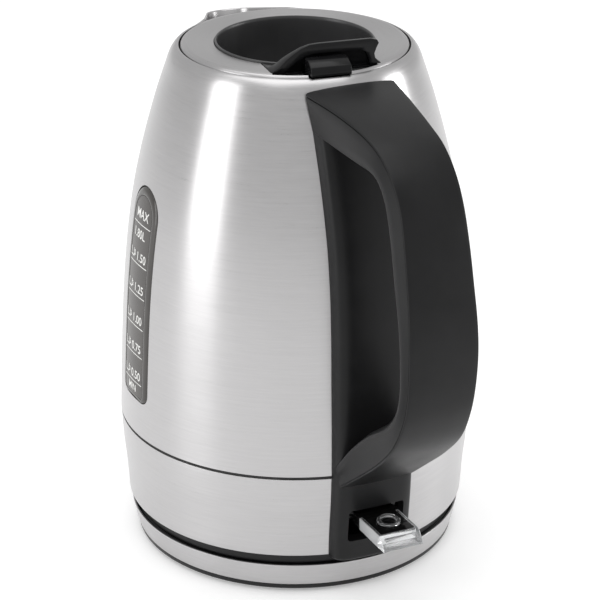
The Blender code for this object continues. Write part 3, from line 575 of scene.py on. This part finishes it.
def water_gauge():
    """The gauge's frame and smoked pane, which follow the wall's curve."""
    # the frame's section from its outer edge to its inner one, as (inset, offset from the jug's wall)
    section = [(0.35, -2.6), (0.3, -1.0), (0.42, -0.5), (0.75, -0.05), (1.3, 0.3), (2.1, 0.52), (3.1, 0.6)]
    section += [(3.7, 0.56), (4.05, 0.4), (4.15, 0.1), (4.2, -2.8)]
    loops = [[on_jug(x, z, out) for x, z in gauge_outline(inset)] for inset, out in section]
    faces = grid_faces(len(loops), len(loops[0]), True, True)
    bezel = raw("gauge_bezel", [p for loop in loops for p in loop], faces, BEZEL)
    shown(bezel, "kettle", ["gauge_frame"])
    half = [(x, z) for x, z in gauge_outline(PANE_INSET) if x >= 0]
    across = np.linspace(-1, 1, 13)
    front = [[on_jug(x * u, z, PANE_FRONT) for u in across] for x, z in half]
    back = [[on_jug(x * u, z, PANE_BACK) for u in across] for x, z in half]
    rows = [f + list(reversed(b)) for f, b in zip(front, back)]
    pane = loft("gauge_pane", rows, SMOKED)
    shown(pane, "kettle", ["gauge_window"])
    gauge_print()


def on_pane(obj):
    """Bends a flat print, drawn in x and z, onto the gauge's pane."""
    for vertex in obj.data.vertices:
        x, y, z = vertex.co / MM
        vertex.co = Vector(on_jug(x, z, PRINT_OFFSET + y)) * MM
    return obj


def flat_strip(x0, x1, z0, z1):
    """Points and faces of a thin bar of print."""
    n = 10
    xs = np.linspace(x0, x1, n)
    points = [(x, y, z) for y in (0.0, PRINT_THICK) for z in (z0, z1) for x in xs]
    faces = []
    for i in range(n - 1):
        faces += [(i, i + 1, n + i + 1, n + i), (2 * n + i, 3 * n + i, 3 * n + i + 1, 2 * n + i + 1)]
        faces += [(i, 2 * n + i, 2 * n + i + 1, i + 1), (n + i, n + i + 1, 3 * n + i + 1, 3 * n + i)]
    faces += [(0, n, 3 * n, 2 * n), (n - 1, 3 * n - 1, 4 * n - 1, 2 * n - 1)]
    return points, faces


def lettering(name, words, x, z, size, align):
    """Flat text drawn on the pane, read from the gauge's side."""
    curve = bpy.data.curves.new(name, "FONT")
    curve.body = words
    curve.size = size * MM
    curve.align_x = align
    curve.align_y = "CENTER"
    curve.extrude = PRINT_THICK / 2 * MM
    curve.offset = 0.011 * size * MM  # makes the strokes bolder
    curve.resolution_u = 3
    text = bpy.data.objects.new(name, curve)
    bpy.context.scene.collection.objects.link(text)
    bpy.context.view_layer.update()
    graph = bpy.context.evaluated_depsgraph_get()
    mesh = bpy.data.meshes.new_from_object(text.evaluated_get(graph))
    bpy.data.objects.remove(text, do_unlink=True)
    work = bmesh.new()
    work.from_mesh(mesh)
    bmesh.ops.remove_doubles(work, verts=work.verts, dist=WELD)
    bmesh.ops.triangulate(work, faces=work.faces)
    work.to_mesh(mesh)
    work.free()
    # seen from +Y, the text's right is -X
    for vertex in mesh.vertices:
        u, v, w = vertex.co / MM
        vertex.co = Vector((x - u, w + PRINT_THICK / 2, z + v)) * MM
    mesh.materials.clear()
    mesh.materials.append(PRINT)
    obj = bpy.data.objects.new(name, mesh)
    bpy.context.scene.collection.objects.link(obj)
    return on_pane(obj)


MARKS = [("1.50", 138.7), ("1.25", 124.6), ("1.00", 110.5), ("0.75", 97.2), ("0.50", 84.2)]
MAX_LINE = 156.5
LINE_HALF, LINE_THICK = 8.8, 0.38
# x0, x1, z0 and z1 of a cup's strips, as shares of its size: foot, two sides, then the handle
CUP_STRIPS = [(-1, 1, -1, -0.72), (0.72, 1, -1, 1), (-1, -0.72, -1, 1), (-1.7, -1, 0.4, 0.66)]
CUP_STRIPS += [(-1.7, -1.42, -0.4, 0.66), (-1.7, -1, -0.55, -0.3)]


def cup_icon(name, x, z, size):
    """A small cup with a handle, drawn in strips."""
    points, faces = [], []
    for x0, x1, z0, z1 in CUP_STRIPS:
        p, f = flat_strip(x + size * x0, x + size * x1, z + size * z0, z + size * z1)
        faces += [tuple(i + len(points) for i in face) for face in f]
        points += p
    return on_pane(raw(name, points, faces, PRINT))


def gauge_print():
    """MAX, MIN, litres, lines and cups on the pane."""

    def put(obj):
        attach(obj, "kettle")

    put(lettering("print_max", "MAX", 0.0, 160.8, 5.8, "CENTER"))
    put(lettering("print_maximum_litres", "1.80L", 1.2, 152.0, 5.5, "CENTER"))
    put(lettering("print_min", "MIN", 0.4, 80.9, 4.6, "CENTER"))
    lines = [("print_line_max", MAX_LINE)] + [(f"print_line_{i + 1}", z) for i, (_, z) in enumerate(MARKS)]
    for name, z in lines:
        strip = flat_strip(-LINE_HALF, LINE_HALF, z - LINE_THICK / 2, z + LINE_THICK / 2)
        put(on_pane(raw(name, *strip, PRINT)))
    for i, (words, z) in enumerate(MARKS):
        put(lettering(f"print_litres_{i + 1}", words, 1.9, z + 3.3, 5.5, "LEFT"))
        put(cup_icon(f"print_cup_{i + 1}", 6.4, z + 3.9, 1.9))


# ---------------------------------------------------------------- jug


INSIDE_LOW, INSIDE_HIGH = 61.0, 222.0  # between the floor's edge and the neck


def jug():
    """The fixed parts of the jug that show."""
    inner = [(r - WALL, z) for r, z in reversed(JUG_CURVE.tolist()) if INSIDE_LOW < z < INSIDE_HIGH]
    under_neck = [(NECK_R, 222.8), (50.9, 222.8), (50.9, 227.2), (52.6, 225.6), (54.0, 222.6)]
    foot = [(77.2, 60.4), (77.2, 54.0), (78.0, 54.0), (78.0, 59.4)]
    outline = JUG_CURVE.tolist() + SHOULDER + under_neck + inner + foot
    shell = lathe("jug_wall", outline, STEEL, corner=0)
    gauge_hole = prism("gauge_hole", gauge_outline(0.0), "Y", 50, 95)
    pour_hole = prism("pour_hole", [(-3.5, 190), (3.5, 190), (16.0, 222.4), (-16.0, 222.4)], "X", 40, 62)
    carved(shell, gauge_hole, pour_hole)
    shown(shell, "kettle", ["body_shell"])
    spout()

    inside = [(r - WALL, z) for r, z in reversed(BAND_CURVE.tolist())]
    curl = [(inside[-1][0], 20.3), (73.9, 20.3), (73.9, 19.5)]
    band = lathe("foot_band", BAND_CURVE.tolist() + inside[:-1] + curl, BAND_STEEL, corner=0.25)
    carved(band, box("band_window", (-90, -14.2, 26.5), (-60, 14.2, 45.0)))
    shown(band, "kettle", ["lower_band"])
    seam = lathe("seam_line", [(79.1, 58.3), (79.1, 59.1), (78.3, 59.1), (78.3, 58.3)], RUBBER, corner=0.1)
    shown(seam, "kettle", ["seam_ring"])
    bottom = [(14.4, 17.0), (18.0, 17.0), (20.0, 19.0), (68.0, 19.0), (69.0, 13.8), (72.9, 13.8)]
    bottom += [(73.6, 14.6), (73.6, 24.0), (71.6, 24.0), (71.6, 21.0), (14.4, 21.0)]
    shown(lathe("underside_moulding", bottom, BLACK), "kettle", ["bottom_moulding"])
    seat = [(47.2, 221.6), (49.6, 221.6), (49.9, 222.4), (52.0, 222.4), (52.0, 220.8), (49.4, 213.0)]
    ring = lathe("lid_seat", seat + [(47.2, 213.0)], GREY, 120)
    carved(ring, turned_lid(box("seat_notch", (-60, -9.8, 205), (-40, 9.8, 230))))
    shown(ring, "kettle", ["lid_seat_ring"])
    floor = [(0, 55.8), (73.9, 55.8), (76.1, 58.8), (76.9, 58.8), (76.9, 55.9), (74.9, 55.0), (0, 55.0)]
    shown(lathe("water_floor", floor, INNER_STEEL, 120), "kettle", ["floor_plate"])


# ---------------------------------------------------------------- power base


GLAND_Z, GLAND_R = 7.3, 4.8
SCREW_CIRCLE, SCREW_ANGLES = 44, (52, 172, 292)


def power_base():
    """The steel skirt, the deck the jug stands on, and the underside with its screw wells."""
    lean = smooth_curve([(73.0, 3.2), (74.1, 7.6), (75.4, 13.9)], 6).tolist()
    inside = [(r - 0.9, z) for r, z in reversed(lean)]
    skirt = lathe("base_steel_skirt", lean + inside, BAND_STEEL, corner=0.2)
    hole = lathe("gland_bore", [(0, 62), (GLAND_R, 62), (GLAND_R, 80), (0, 80)], None, 40, corner=0)
    for vertex in hole.data.vertices:
        x, y, z = vertex.co
        vertex.co = (z, y, GLAND_Z * MM - x)
    carved(skirt, hole)
    shown(skirt, "power_base", ["base_skirt_ring"])
    deck = [(9.3, 15.4), (13.3, 15.4), (15.3, 13.4), (72.6, 13.4), (73.6, 12.8), (73.2, 10.0), (69.4, 5.6)]
    deck += [(67.6, 5.6), (69.8, 11.0), (9.3, 11.0)]
    shown(lathe("base_deck", deck, BLACK), "power_base", ["base_top_plate"])
    rim = [(0, 0), (53.0, 0), (53.5, 0.6), (54.3, 0.6), (54.8, 0), (68.6, 0), (71.9, 0.5), (72.6, 1.1)]
    rim += [(72.95, 3.12), (70.6, 3.14), (70.6, 5.0), (69.8, 5.0), (69.8, 2.4), (0, 2.4)]
    under = lathe("base_underside", rim, BLACK, corner=0.25)
    holes = []
    for i, angle in enumerate(np.radians(SCREW_ANGLES)):
        x, y = SCREW_CIRCLE * math.cos(angle), SCREW_CIRCLE * math.sin(angle)
        well = [(0, -1), (3.3, -1), (3.3, 1.2), (1.7, 1.2), (1.7, 4), (0, 4)]
        holes.append(lathe(f"screw_well_{i}", well, None, 32, 0, (x, y)))
    carved(under, *holes)
    shown(under, "power_base", ["base_bottom_cover"])


# ---------------------------------------------------------------- handle

# the strap's outer line and its finger side, lid end first, as (distance behind the axis, height)
STRAP_BACK = [(54, 226.0), (76, 223.9), (96, 220.6), (110, 216.2), (121, 208), (128.5, 197), (133.5, 182)]
STRAP_BACK += [(137.5, 165.5), (140.5, 150), (141.4, 136), (140.3, 121), (136.5, 107.5), (128.5, 93.5)]
STRAP_BACK += [(115, 80), (98.5, 66.8), (84.5, 56)]
STRAP_FRONT = [(57, 208.8), (76, 207.6), (94, 207.2), (104.5, 207), (112, 204.2), (118, 196.4), (122.8, 184)]
STRAP_FRONT += [(127.4, 167.5), (132, 152), (134.4, 137), (134.2, 121.5), (130.8, 110.8), (122.6, 101.6)]
STRAP_FRONT += [(108.3, 92), (93.6, 79.5), (80, 65)]
# half-widths at the same stations
BACK_HALF = [20.4, 17.4, 15.2, 14.5, 14.1, 14.0, 14.4, 14.8, 15.3, 15.6, 15.4, 15.5, 16.0, 16.2, 16.8, 17.8]
FRONT_HALF = [18.6, 17.4, 16.8, 16.4, 16.1, 16.0, 16.2, 16.5, 16.9, 17.1, 17.0, 17.2, 17.5, 17.7, 17.9, 18.0]
# the spine's height and half-width
SPINE_HALF = [(15.4, 18.5), (60.0, 18.6), (100.0, 18.2), (140.0, 17.5), (160.0, 17.5), (190.0, 18.0)]
SPINE_HALF += [(219.0, 18.7)]
SPINE_DEPTH, SPINE_LOW, SPINE_ROUND = 6.0, 18.2, 1.6
STATION_STEPS = 7
SEAM_DROP = 1.45  # how far the cover's edge lies under its crown, where the fall is one


def spine_half(z):
    return float(np.interp(z, [h for h, _ in SPINE_HALF], [half for _, half in SPINE_HALF]))


def strap_stations():
    """Stations along the strap.

    Each is the back point, direction outwards, thickness, half-widths, crown of the finger side, the
    cover's fall at its edges, and how open the seam is.
    """
    back, front = smooth_curve(STRAP_BACK, STATION_STEPS), smooth_curve(STRAP_FRONT, STATION_STEPS)
    halves = smooth_curve(list(zip(BACK_HALF, FRONT_HALF)), STATION_STEPS)
    for i, (b, f) in enumerate(zip(back, front)):
        station = i / STATION_STEPS
        out = b - f
        thick = np.linalg.norm(out)
        crown = 1.5 + 4.0 * math.sin(math.pi * min(max((station - 1) / 13.0, 0.0), 1.0)) ** 0.8
        fall = float(np.interp(station, [0, 1, 2], [1.5, 1.2, 1.0]))
        gap = float(np.interp(station, [10.5, 12.5], [1.0, 0.05]))
        yield b, out / thick, thick, halves[i], crown, fall, gap


def strap_loop(back, out, section):
    """A section of (y, distance out from the back point) stood at its station."""
    return [(-(back[0] + out[0] * d), y, back[1] + out[1] * d) for y, d in section]


def mirrored(half):
    """A section from its +y half, listed from the edge to the middle."""
    return half + [(-y, d) for y, d in reversed(half) if abs(y) > 1e-6]


def cover_section(half, fall):
    """Half section of the outer cover, from inside its edge to the middle of its crown."""
    lip = SEAM_DROP * fall
    knots = [(half, -lip + 0.1), (half - 0.15, -0.95 * fall), (half - 0.8, -0.68 * fall)]
    knots += [(half - 3.2, -0.42 * fall), (half * 0.45, -0.1 * fall), (0, 0)]
    return [(half - 2.9, -3.2), (half - 2.9, -lip), (half - 0.3, -lip)] + smooth_curve(knots, 4).tolist()


def shell_section(half, flared, thick, crown, fall, gap):
    """Section of the finger side, wider by its flare below the seam, with a step for the cover."""
    seam = -SEAM_DROP * fall - 0.35 * gap
    edge = [(half - 0.5, seam), (half - 0.12 * gap, seam - 0.12), (half + 0.02, seam - 0.5)]
    edge += [(half + (flared - half) * t, seam + (-thick + 1.4 - seam) * t) for t in (0.35, 0.7)]
    corner = (flared - 2.3, -thick - crown * 0.5)
    turn = smooth_curve([(flared, -thick + 1.4), (flared - 0.35, -thick), corner], 5).tolist()
    under = smooth_curve([corner, (flared * 0.5, -thick - crown * 0.95), (0, -thick - crown)], 6).tolist()
    ring = edge + turn + under[1:]
    ring += [(-y, d) for y, d in reversed(ring[:-1])]
    step, floor = half - 2.6, -3.55
    return ring + [(-step, seam), (-step, floor), (step, floor), (step, seam)]


def jug_clearance(name):
    """The jug's solid shape, a little grown, to cut the handle's pieces with."""
    outline = [(0, 10.0), (76.9, 10.0)] + [(r + 0.3, z) for r, z in OUTSIDE.tolist() if z < 227.5]
    return lathe(name, outline + [(52.9, 232.0), (0, 232.0)], None, corner=0)


def spine_loop(z, grow):
    """Outline of the spine at a height, rounded at its foot."""
    radius = float(outside_radius(max(z, OUTSIDE[0, 1])))
    shy = SPINE_ROUND * max(0.0, 1 - (z - SPINE_LOW) / SPINE_ROUND) ** 2
    half = spine_half(z) + grow - shy * 0.8
    face = radius + SPINE_DEPTH + grow - shy
    edge = math.sqrt(radius**2 - half**2)
    side = [(-edge + 4.0, -half), (-edge - 1.2, -half)]
    knots = [(-edge - 1.2, -half), (-face + 3.1, -half + 1.1), (-face + 1.5, -half + 3.0)]
    knots += [(-face + 0.5, -half + 6.5), (-face + 0.12, -half * 0.35), (-face, 0)]
    side += smooth_curve(knots, 4).tolist()[1:]
    return [(x, y, z) for x, y in side + [(x, -y) for x, y in reversed(side[:-1])]]


def spine_shape(name, material, grow=0.0):
    # close together over the rounded foot, then even, and always rising
    heights = list(SPINE_LOW + np.array([0, 0.2, 0.5, 0.9, 1.6])) + np.linspace(20.6, 219.0, 68).tolist()
    return loft(name, [spine_loop(z, grow) for z in heights], material)


def handle():
    cover, shell = [], []
    for back, out, thick, (half, flared), crown, fall, gap in strap_stations():
        cover.append(strap_loop(back, out, mirrored(cover_section(half, fall))))
        shell.append(strap_loop(back, out, shell_section(half, flared, thick, crown, fall, gap)))
    outer = loft("handle_outer_cover", cover, HANDLE_BLACK)
    carved(outer, jug_clearance("cover_clearance"), spine_shape("spine_clearance", None, 0.3))
    shown(outer, "kettle", ["handle_cover"], sharp=40.0)
    grip = loft("handle_inner_grip", shell, HANDLE_BLACK)
    carved(grip, jug_clearance("grip_clearance"))
    shown(grip, "kettle", ["handle_body"], sharp=40.0)
    spine = spine_shape("handle_spine", HANDLE_BLACK)
    slot = box("switch_slot", (-95, -13.2, 28.5), (-70, 13.2, 44.0))
    bevel(slot, 1.6, 4)
    finished(slot)
    carved(spine, jug_clearance("spine_seat"), slot)
    shown(spine, "kettle", sharp=40.0)


# ---------------------------------------------------------------- switch

LEVER_HALF = 9.4


def switch():
    """The clear paddle with its pocket, a dark sheet under its top as painted shade, its ears and its ring.
    """
    side = [(-68.8, 40.6), (-104.2, 41.6), (-105.8, 41.0), (-109.5, 36.9), (-109.2, 35.9), (-101.0, 35.6)]
    lever = prism("lever_paddle", side + [(-68.8, 35.6)], "Y", -LEVER_HALF, LEVER_HALF, LEVER_CLEAR)
    dent = [(-105.6, 40.2), (-108.4, 37.1), (-112.0, 40.3), (-109.2, 43.4)]
    pocket = prism("lever_pocket", dent, "Y", -7.7, 7.7)
    bevel(pocket, 0.9, 3, 30.0)
    finished(pocket)
    hollow = box("lever_hollow", (-103.2, -8.6, 30.0), (-78.0, 8.6, 40.0))
    carved(lever, pocket, hollow)
    bevel(lever, 0.35, 3, 30.0)
    # painted shade: a thin dark sheet under the lever's top, for the shadowed slot seen through the clear
    # plastic
    painted_shade_sheet = box("lever_painted_shade_sheet", (-103.0, -8.45, 39.2), (-78.4, 8.45, 39.9), BLACK)
    bevel(painted_shade_sheet, 0.2, 2)
    shown(painted_shade_sheet, "lever", sharp=30.0)
    ears = box("lever_ears", (-77.0, -12.6, 36.0), (-69.2, 12.6, 40.2), CLEAR)
    bevel(ears, 0.6, 3)
    shown(lever, "lever", ["switch_lever"], sharp=30.0)
    shown(ears, "lever", sharp=30.0)
    lens = [(3.3, 42.6), (3.9, 43.0), (4.8, 43.0), (5.2, 42.6), (5.2, 41.75), (3.3, 41.75)]
    shown(lathe("lever_lens_ring", lens, CLEAR, 48, 0.25, (-95.0, 0.0)), "lever", ["lever_lens"])


# ---------------------------------------------------------------- lid

LID_TURN = -7.4
LID_R = 49.4
# the finger lip seen from the handle, as (y, z): its top line, and the arch under it
LIP_TOP = [(23.0, 229.6), (19.5, 231.6), (16.5, 234.6), (13.5, 236.8), (10.0, 238.9), (6.5, 240.2)]
LIP_TOP += [(2.0, 240.5), (-20.5, 240.5), (-23.2, 239.7), (-23.9, 238.4), (-22.8, 236.2), (-22.0, 234.0)]
LIP_TOP += [(-22.4, 232.0), (-23.6, 230.6), (-24.8, 229.8)]
LIP_ARCH = [(18.2, 228.9), (15.8, 230.6), (12.2, 233.4), (8.6, 235.4), (4.5, 236.3), (-15.6, 236.3)]
LIP_ARCH += [(-18.2, 235.0), (-19.4, 232.6), (-20.2, 228.9)]
BOWL_FLOOR = 197.7


def turned_lid(obj):
    """Turns a piece made with the latch at -X into the lid's real direction."""
    a = math.radians(LID_TURN)
    for vertex in obj.data.vertices:
        x, y, z = vertex.co
        vertex.co = (x * math.cos(a) - y * math.sin(a), x * math.sin(a) + y * math.cos(a), z)
    return obj


def wedge(name, radius, low, high):
    """The sector of the lid's ring that is cut away for the fingers."""
    outer = [(radius * math.cos(a), radius * math.sin(a)) for a in np.radians(np.linspace(151.5, 208.5, 25))]
    return prism(name, [(-22.0, 21.7)] + outer + [(-22.0, -21.7)], "Z", low, high)


def lid():
    """The lid's ring, bowl, lip and button, with the seal and cover below them."""
    outline = [(34.9, 229.6), (46.8, 229.9), (48.6, 229.5), (LID_R, 228.5), (LID_R, 224.8), (48.7, 224.8)]
    outline += [(48.7, 228.4), (46.4, 229.1), (34.9, 228.8)]
    plate = lathe("lid_steel_ring", outline, LID_STEEL, corner=0.35)
    foot = box("lip_foot", (-41.0, -24.8, 226.0), (-20.0, 23.4, 235.0))
    button = box("button_gap", (-55, -9.3, 222.0), (-45, 9.3, 235.0))
    carved(plate, wedge("finger_recess", LID_R - 1.1, 226.0, 235.0), foot, button)
    shown(turned_lid(plate), "lid", ["lid_plate"])

    low = BOWL_FLOOR
    outside = [(0, low - 2.0), (20.5, low - 1.8), (28.0, low + 1.2), (32.4, low + 8.0), (34.2, low + 18.0)]
    outside += [(35.0, 226.0), (47.8, 226.2), (47.8, 228.2), (34.7, 228.2), (34.7, 229.6)]
    rim = [(34.6, 230.2), (34.2, 230.5), (33.8, 230.4), (33.5, 229.9)]
    inside = [(33.4, 229.0), (32.8, low + 19.0), (31.0, low + 9.5), (27.0, low + 3.0), (20.0, low + 0.3)]
    inside = smooth_curve(inside + [(10.0, low)], 6).tolist()
    bowl = lathe("lid_black_bowl", outside + rim + inside + [(0, low)], BOWL_BLACK, corner=0)
    carved(bowl, box("latch_slot", (-50.0, -9.3, 224.0), (-36.8, 9.3, 232.0)))
    shown(turned_lid(bowl), "lid", ["lid_bowl"])

    lip = prism("lid_finger_lip", LIP_TOP + [(-24.8, 227.6), (23.0, 227.6)], "X", -40.6, -20.0, GLOSS)
    inner = lathe("lip_inner", [(0, 220), (33.4, 220), (33.4, 250), (0, 250)], None, corner=0)
    slant = prism("lip_slant", [(-39.4, 241.2), (-18.0, 252.0), (-18.0, 229.9), (-33.6, 229.9)], "Y", -30, 30)
    arch = prism("lip_arch", LIP_ARCH, "X", -48.0, -37.7)
    carved(lip, inner, slant, arch, box("lip_slot", (-48.0, -9.4, 226.0), (-37.2, 9.4, 232.0)))
    bevel(lip, 0.4, 3, 28.0)
    shown(turned_lid(lip), "lid", sharp=40.0)

    cover = [(46.8, 224.4), (46.8, 213.0), (44.0, 208.6), (33.4, 207.6), (33.4, 209.0), (43.2, 210.0)]
    cover += [(45.6, 213.6), (45.6, 224.4)]
    under = lathe("lid_inner_cover", cover, GREY, 120)
    carved(under, box("latch_window", (-52, -9.4, 214.0), (-44, 9.4, 230.0)))
    shown(turned_lid(under), "lid", ["lid_underside"])
    ring = [(49.4, 224.0), (49.2, 222.2), (47.1, 222.2), (47.1, 224.2)]
    seal = lathe("lid_seal", ring, SILICONE, corner=0.5)
    shown(seal, "lid", ["lid_gasket"])

    side = [(-50.7, 229.4), (-50.5, 231.6), (-49.4, 233.3), (-46.0, 235.0), (-41.6, 235.4), (-40.9, 234.8)]
    side += [(-40.9, 216.0), (-44.5, 216.0), (-44.5, 218.6), (-47.4, 219.4), (-47.4, 221.0)]
    side += [(-45.0, 222.4), (-45.0, 227.0), (-47.6, 229.6)]
    latch = prism("latch_button", side, "Y", -8.8, 8.8, GLOSS)
    bevel(latch, 0.4, 3, 28.0)
    finished(latch)
    shown(turned_lid(latch), "latch", ["lid_latch"], sharp=40.0)


# ---------------------------------------------------------------- stage


WHITE = (1, 1, 1, 1)
FLOOR_HALF, FLOOR_LOW = 6000, -1.0
# the camera looks 25 degrees across from straight behind the handle, and 23.5 degrees down
ACROSS_COS, ACROSS_SIN, DOWN_COS, DOWN_SIN = 0.9063, 0.4226, 0.9171, 0.3986
CAMERA_AT = (-0.8947, 0.4172, 0.5369)


def studio():
    """A white floor, an even white surround, three softboxes and the camera."""
    made = Nodes("studio_floor")
    grain = made.noise(made.place(), 40.0, 2.0)
    made.into(made.between(grain, (0.84, 0.84, 0.84), (0.87, 0.87, 0.87)), "Base Color")
    made.fixed(Roughness=0.75, Specular_IOR_Level=0.2, Emission_Strength=0.3, Emission_Color=WHITE)
    signs = [(-1, -1), (1, -1), (1, 1), (-1, 1)]
    corners = [(x * FLOOR_HALF, y * FLOOR_HALF, FLOOR_LOW) for x, y in signs]
    floor = raw("studio_floor_sheet", corners, [(0, 1, 2, 3)], made.material)

    world = bpy.data.worlds.new("studio")
    bpy.context.scene.world = world
    world.use_nodes = True
    background = world.node_tree.nodes["Background"]
    background.inputs["Color"].default_value = WHITE
    background.inputs["Strength"].default_value = 0.66
    bpy.context.scene.view_settings.view_transform = "Standard"

    def softbox(name, place, target, width, height, power):
        data = bpy.data.lights.new(name, "AREA")
        data.shape = "RECTANGLE"
        data.size, data.size_y = width, height
        data.energy = power
        light = bpy.data.objects.new(name, data)
        light.location = place
        light.rotation_euler = (Vector(target) - Vector(place)).to_track_quat("-Z", "Y").to_euler()
        bpy.context.scene.collection.objects.link(light)

    aim = (0, 0, 0.12)
    softbox("key_left", (-0.04, 1.4, 0.5), (0, 0, 0.3), 0.6, 1.15, 6.5)
    softbox("fill_right", (-0.45, -1.3, 0.3), aim, 0.5, 0.6, 6)
    softbox("top", (0.0, 0.1, 1.7), aim, 1.6, 1.6, 12)

    data = bpy.data.cameras.new("camera")
    camera = bpy.data.objects.new("camera", data)
    bpy.context.scene.collection.objects.link(camera)
    data.lens, data.sensor_width, data.shift_x = 143.36, 36.0, 0.0087
    data.clip_start, data.clip_end = 0.05, 30.0
    camera.location = CAMERA_AT
    forward = Vector((ACROSS_COS * DOWN_COS, -ACROSS_SIN * DOWN_COS, -DOWN_SIN))
    camera.rotation_euler = forward.to_track_quat("-Z", "Y").to_euler()
    bpy.context.scene.camera = camera


paint_cad()
jug()
water_gauge()
power_base()
handle()
switch()
lid()
studio()
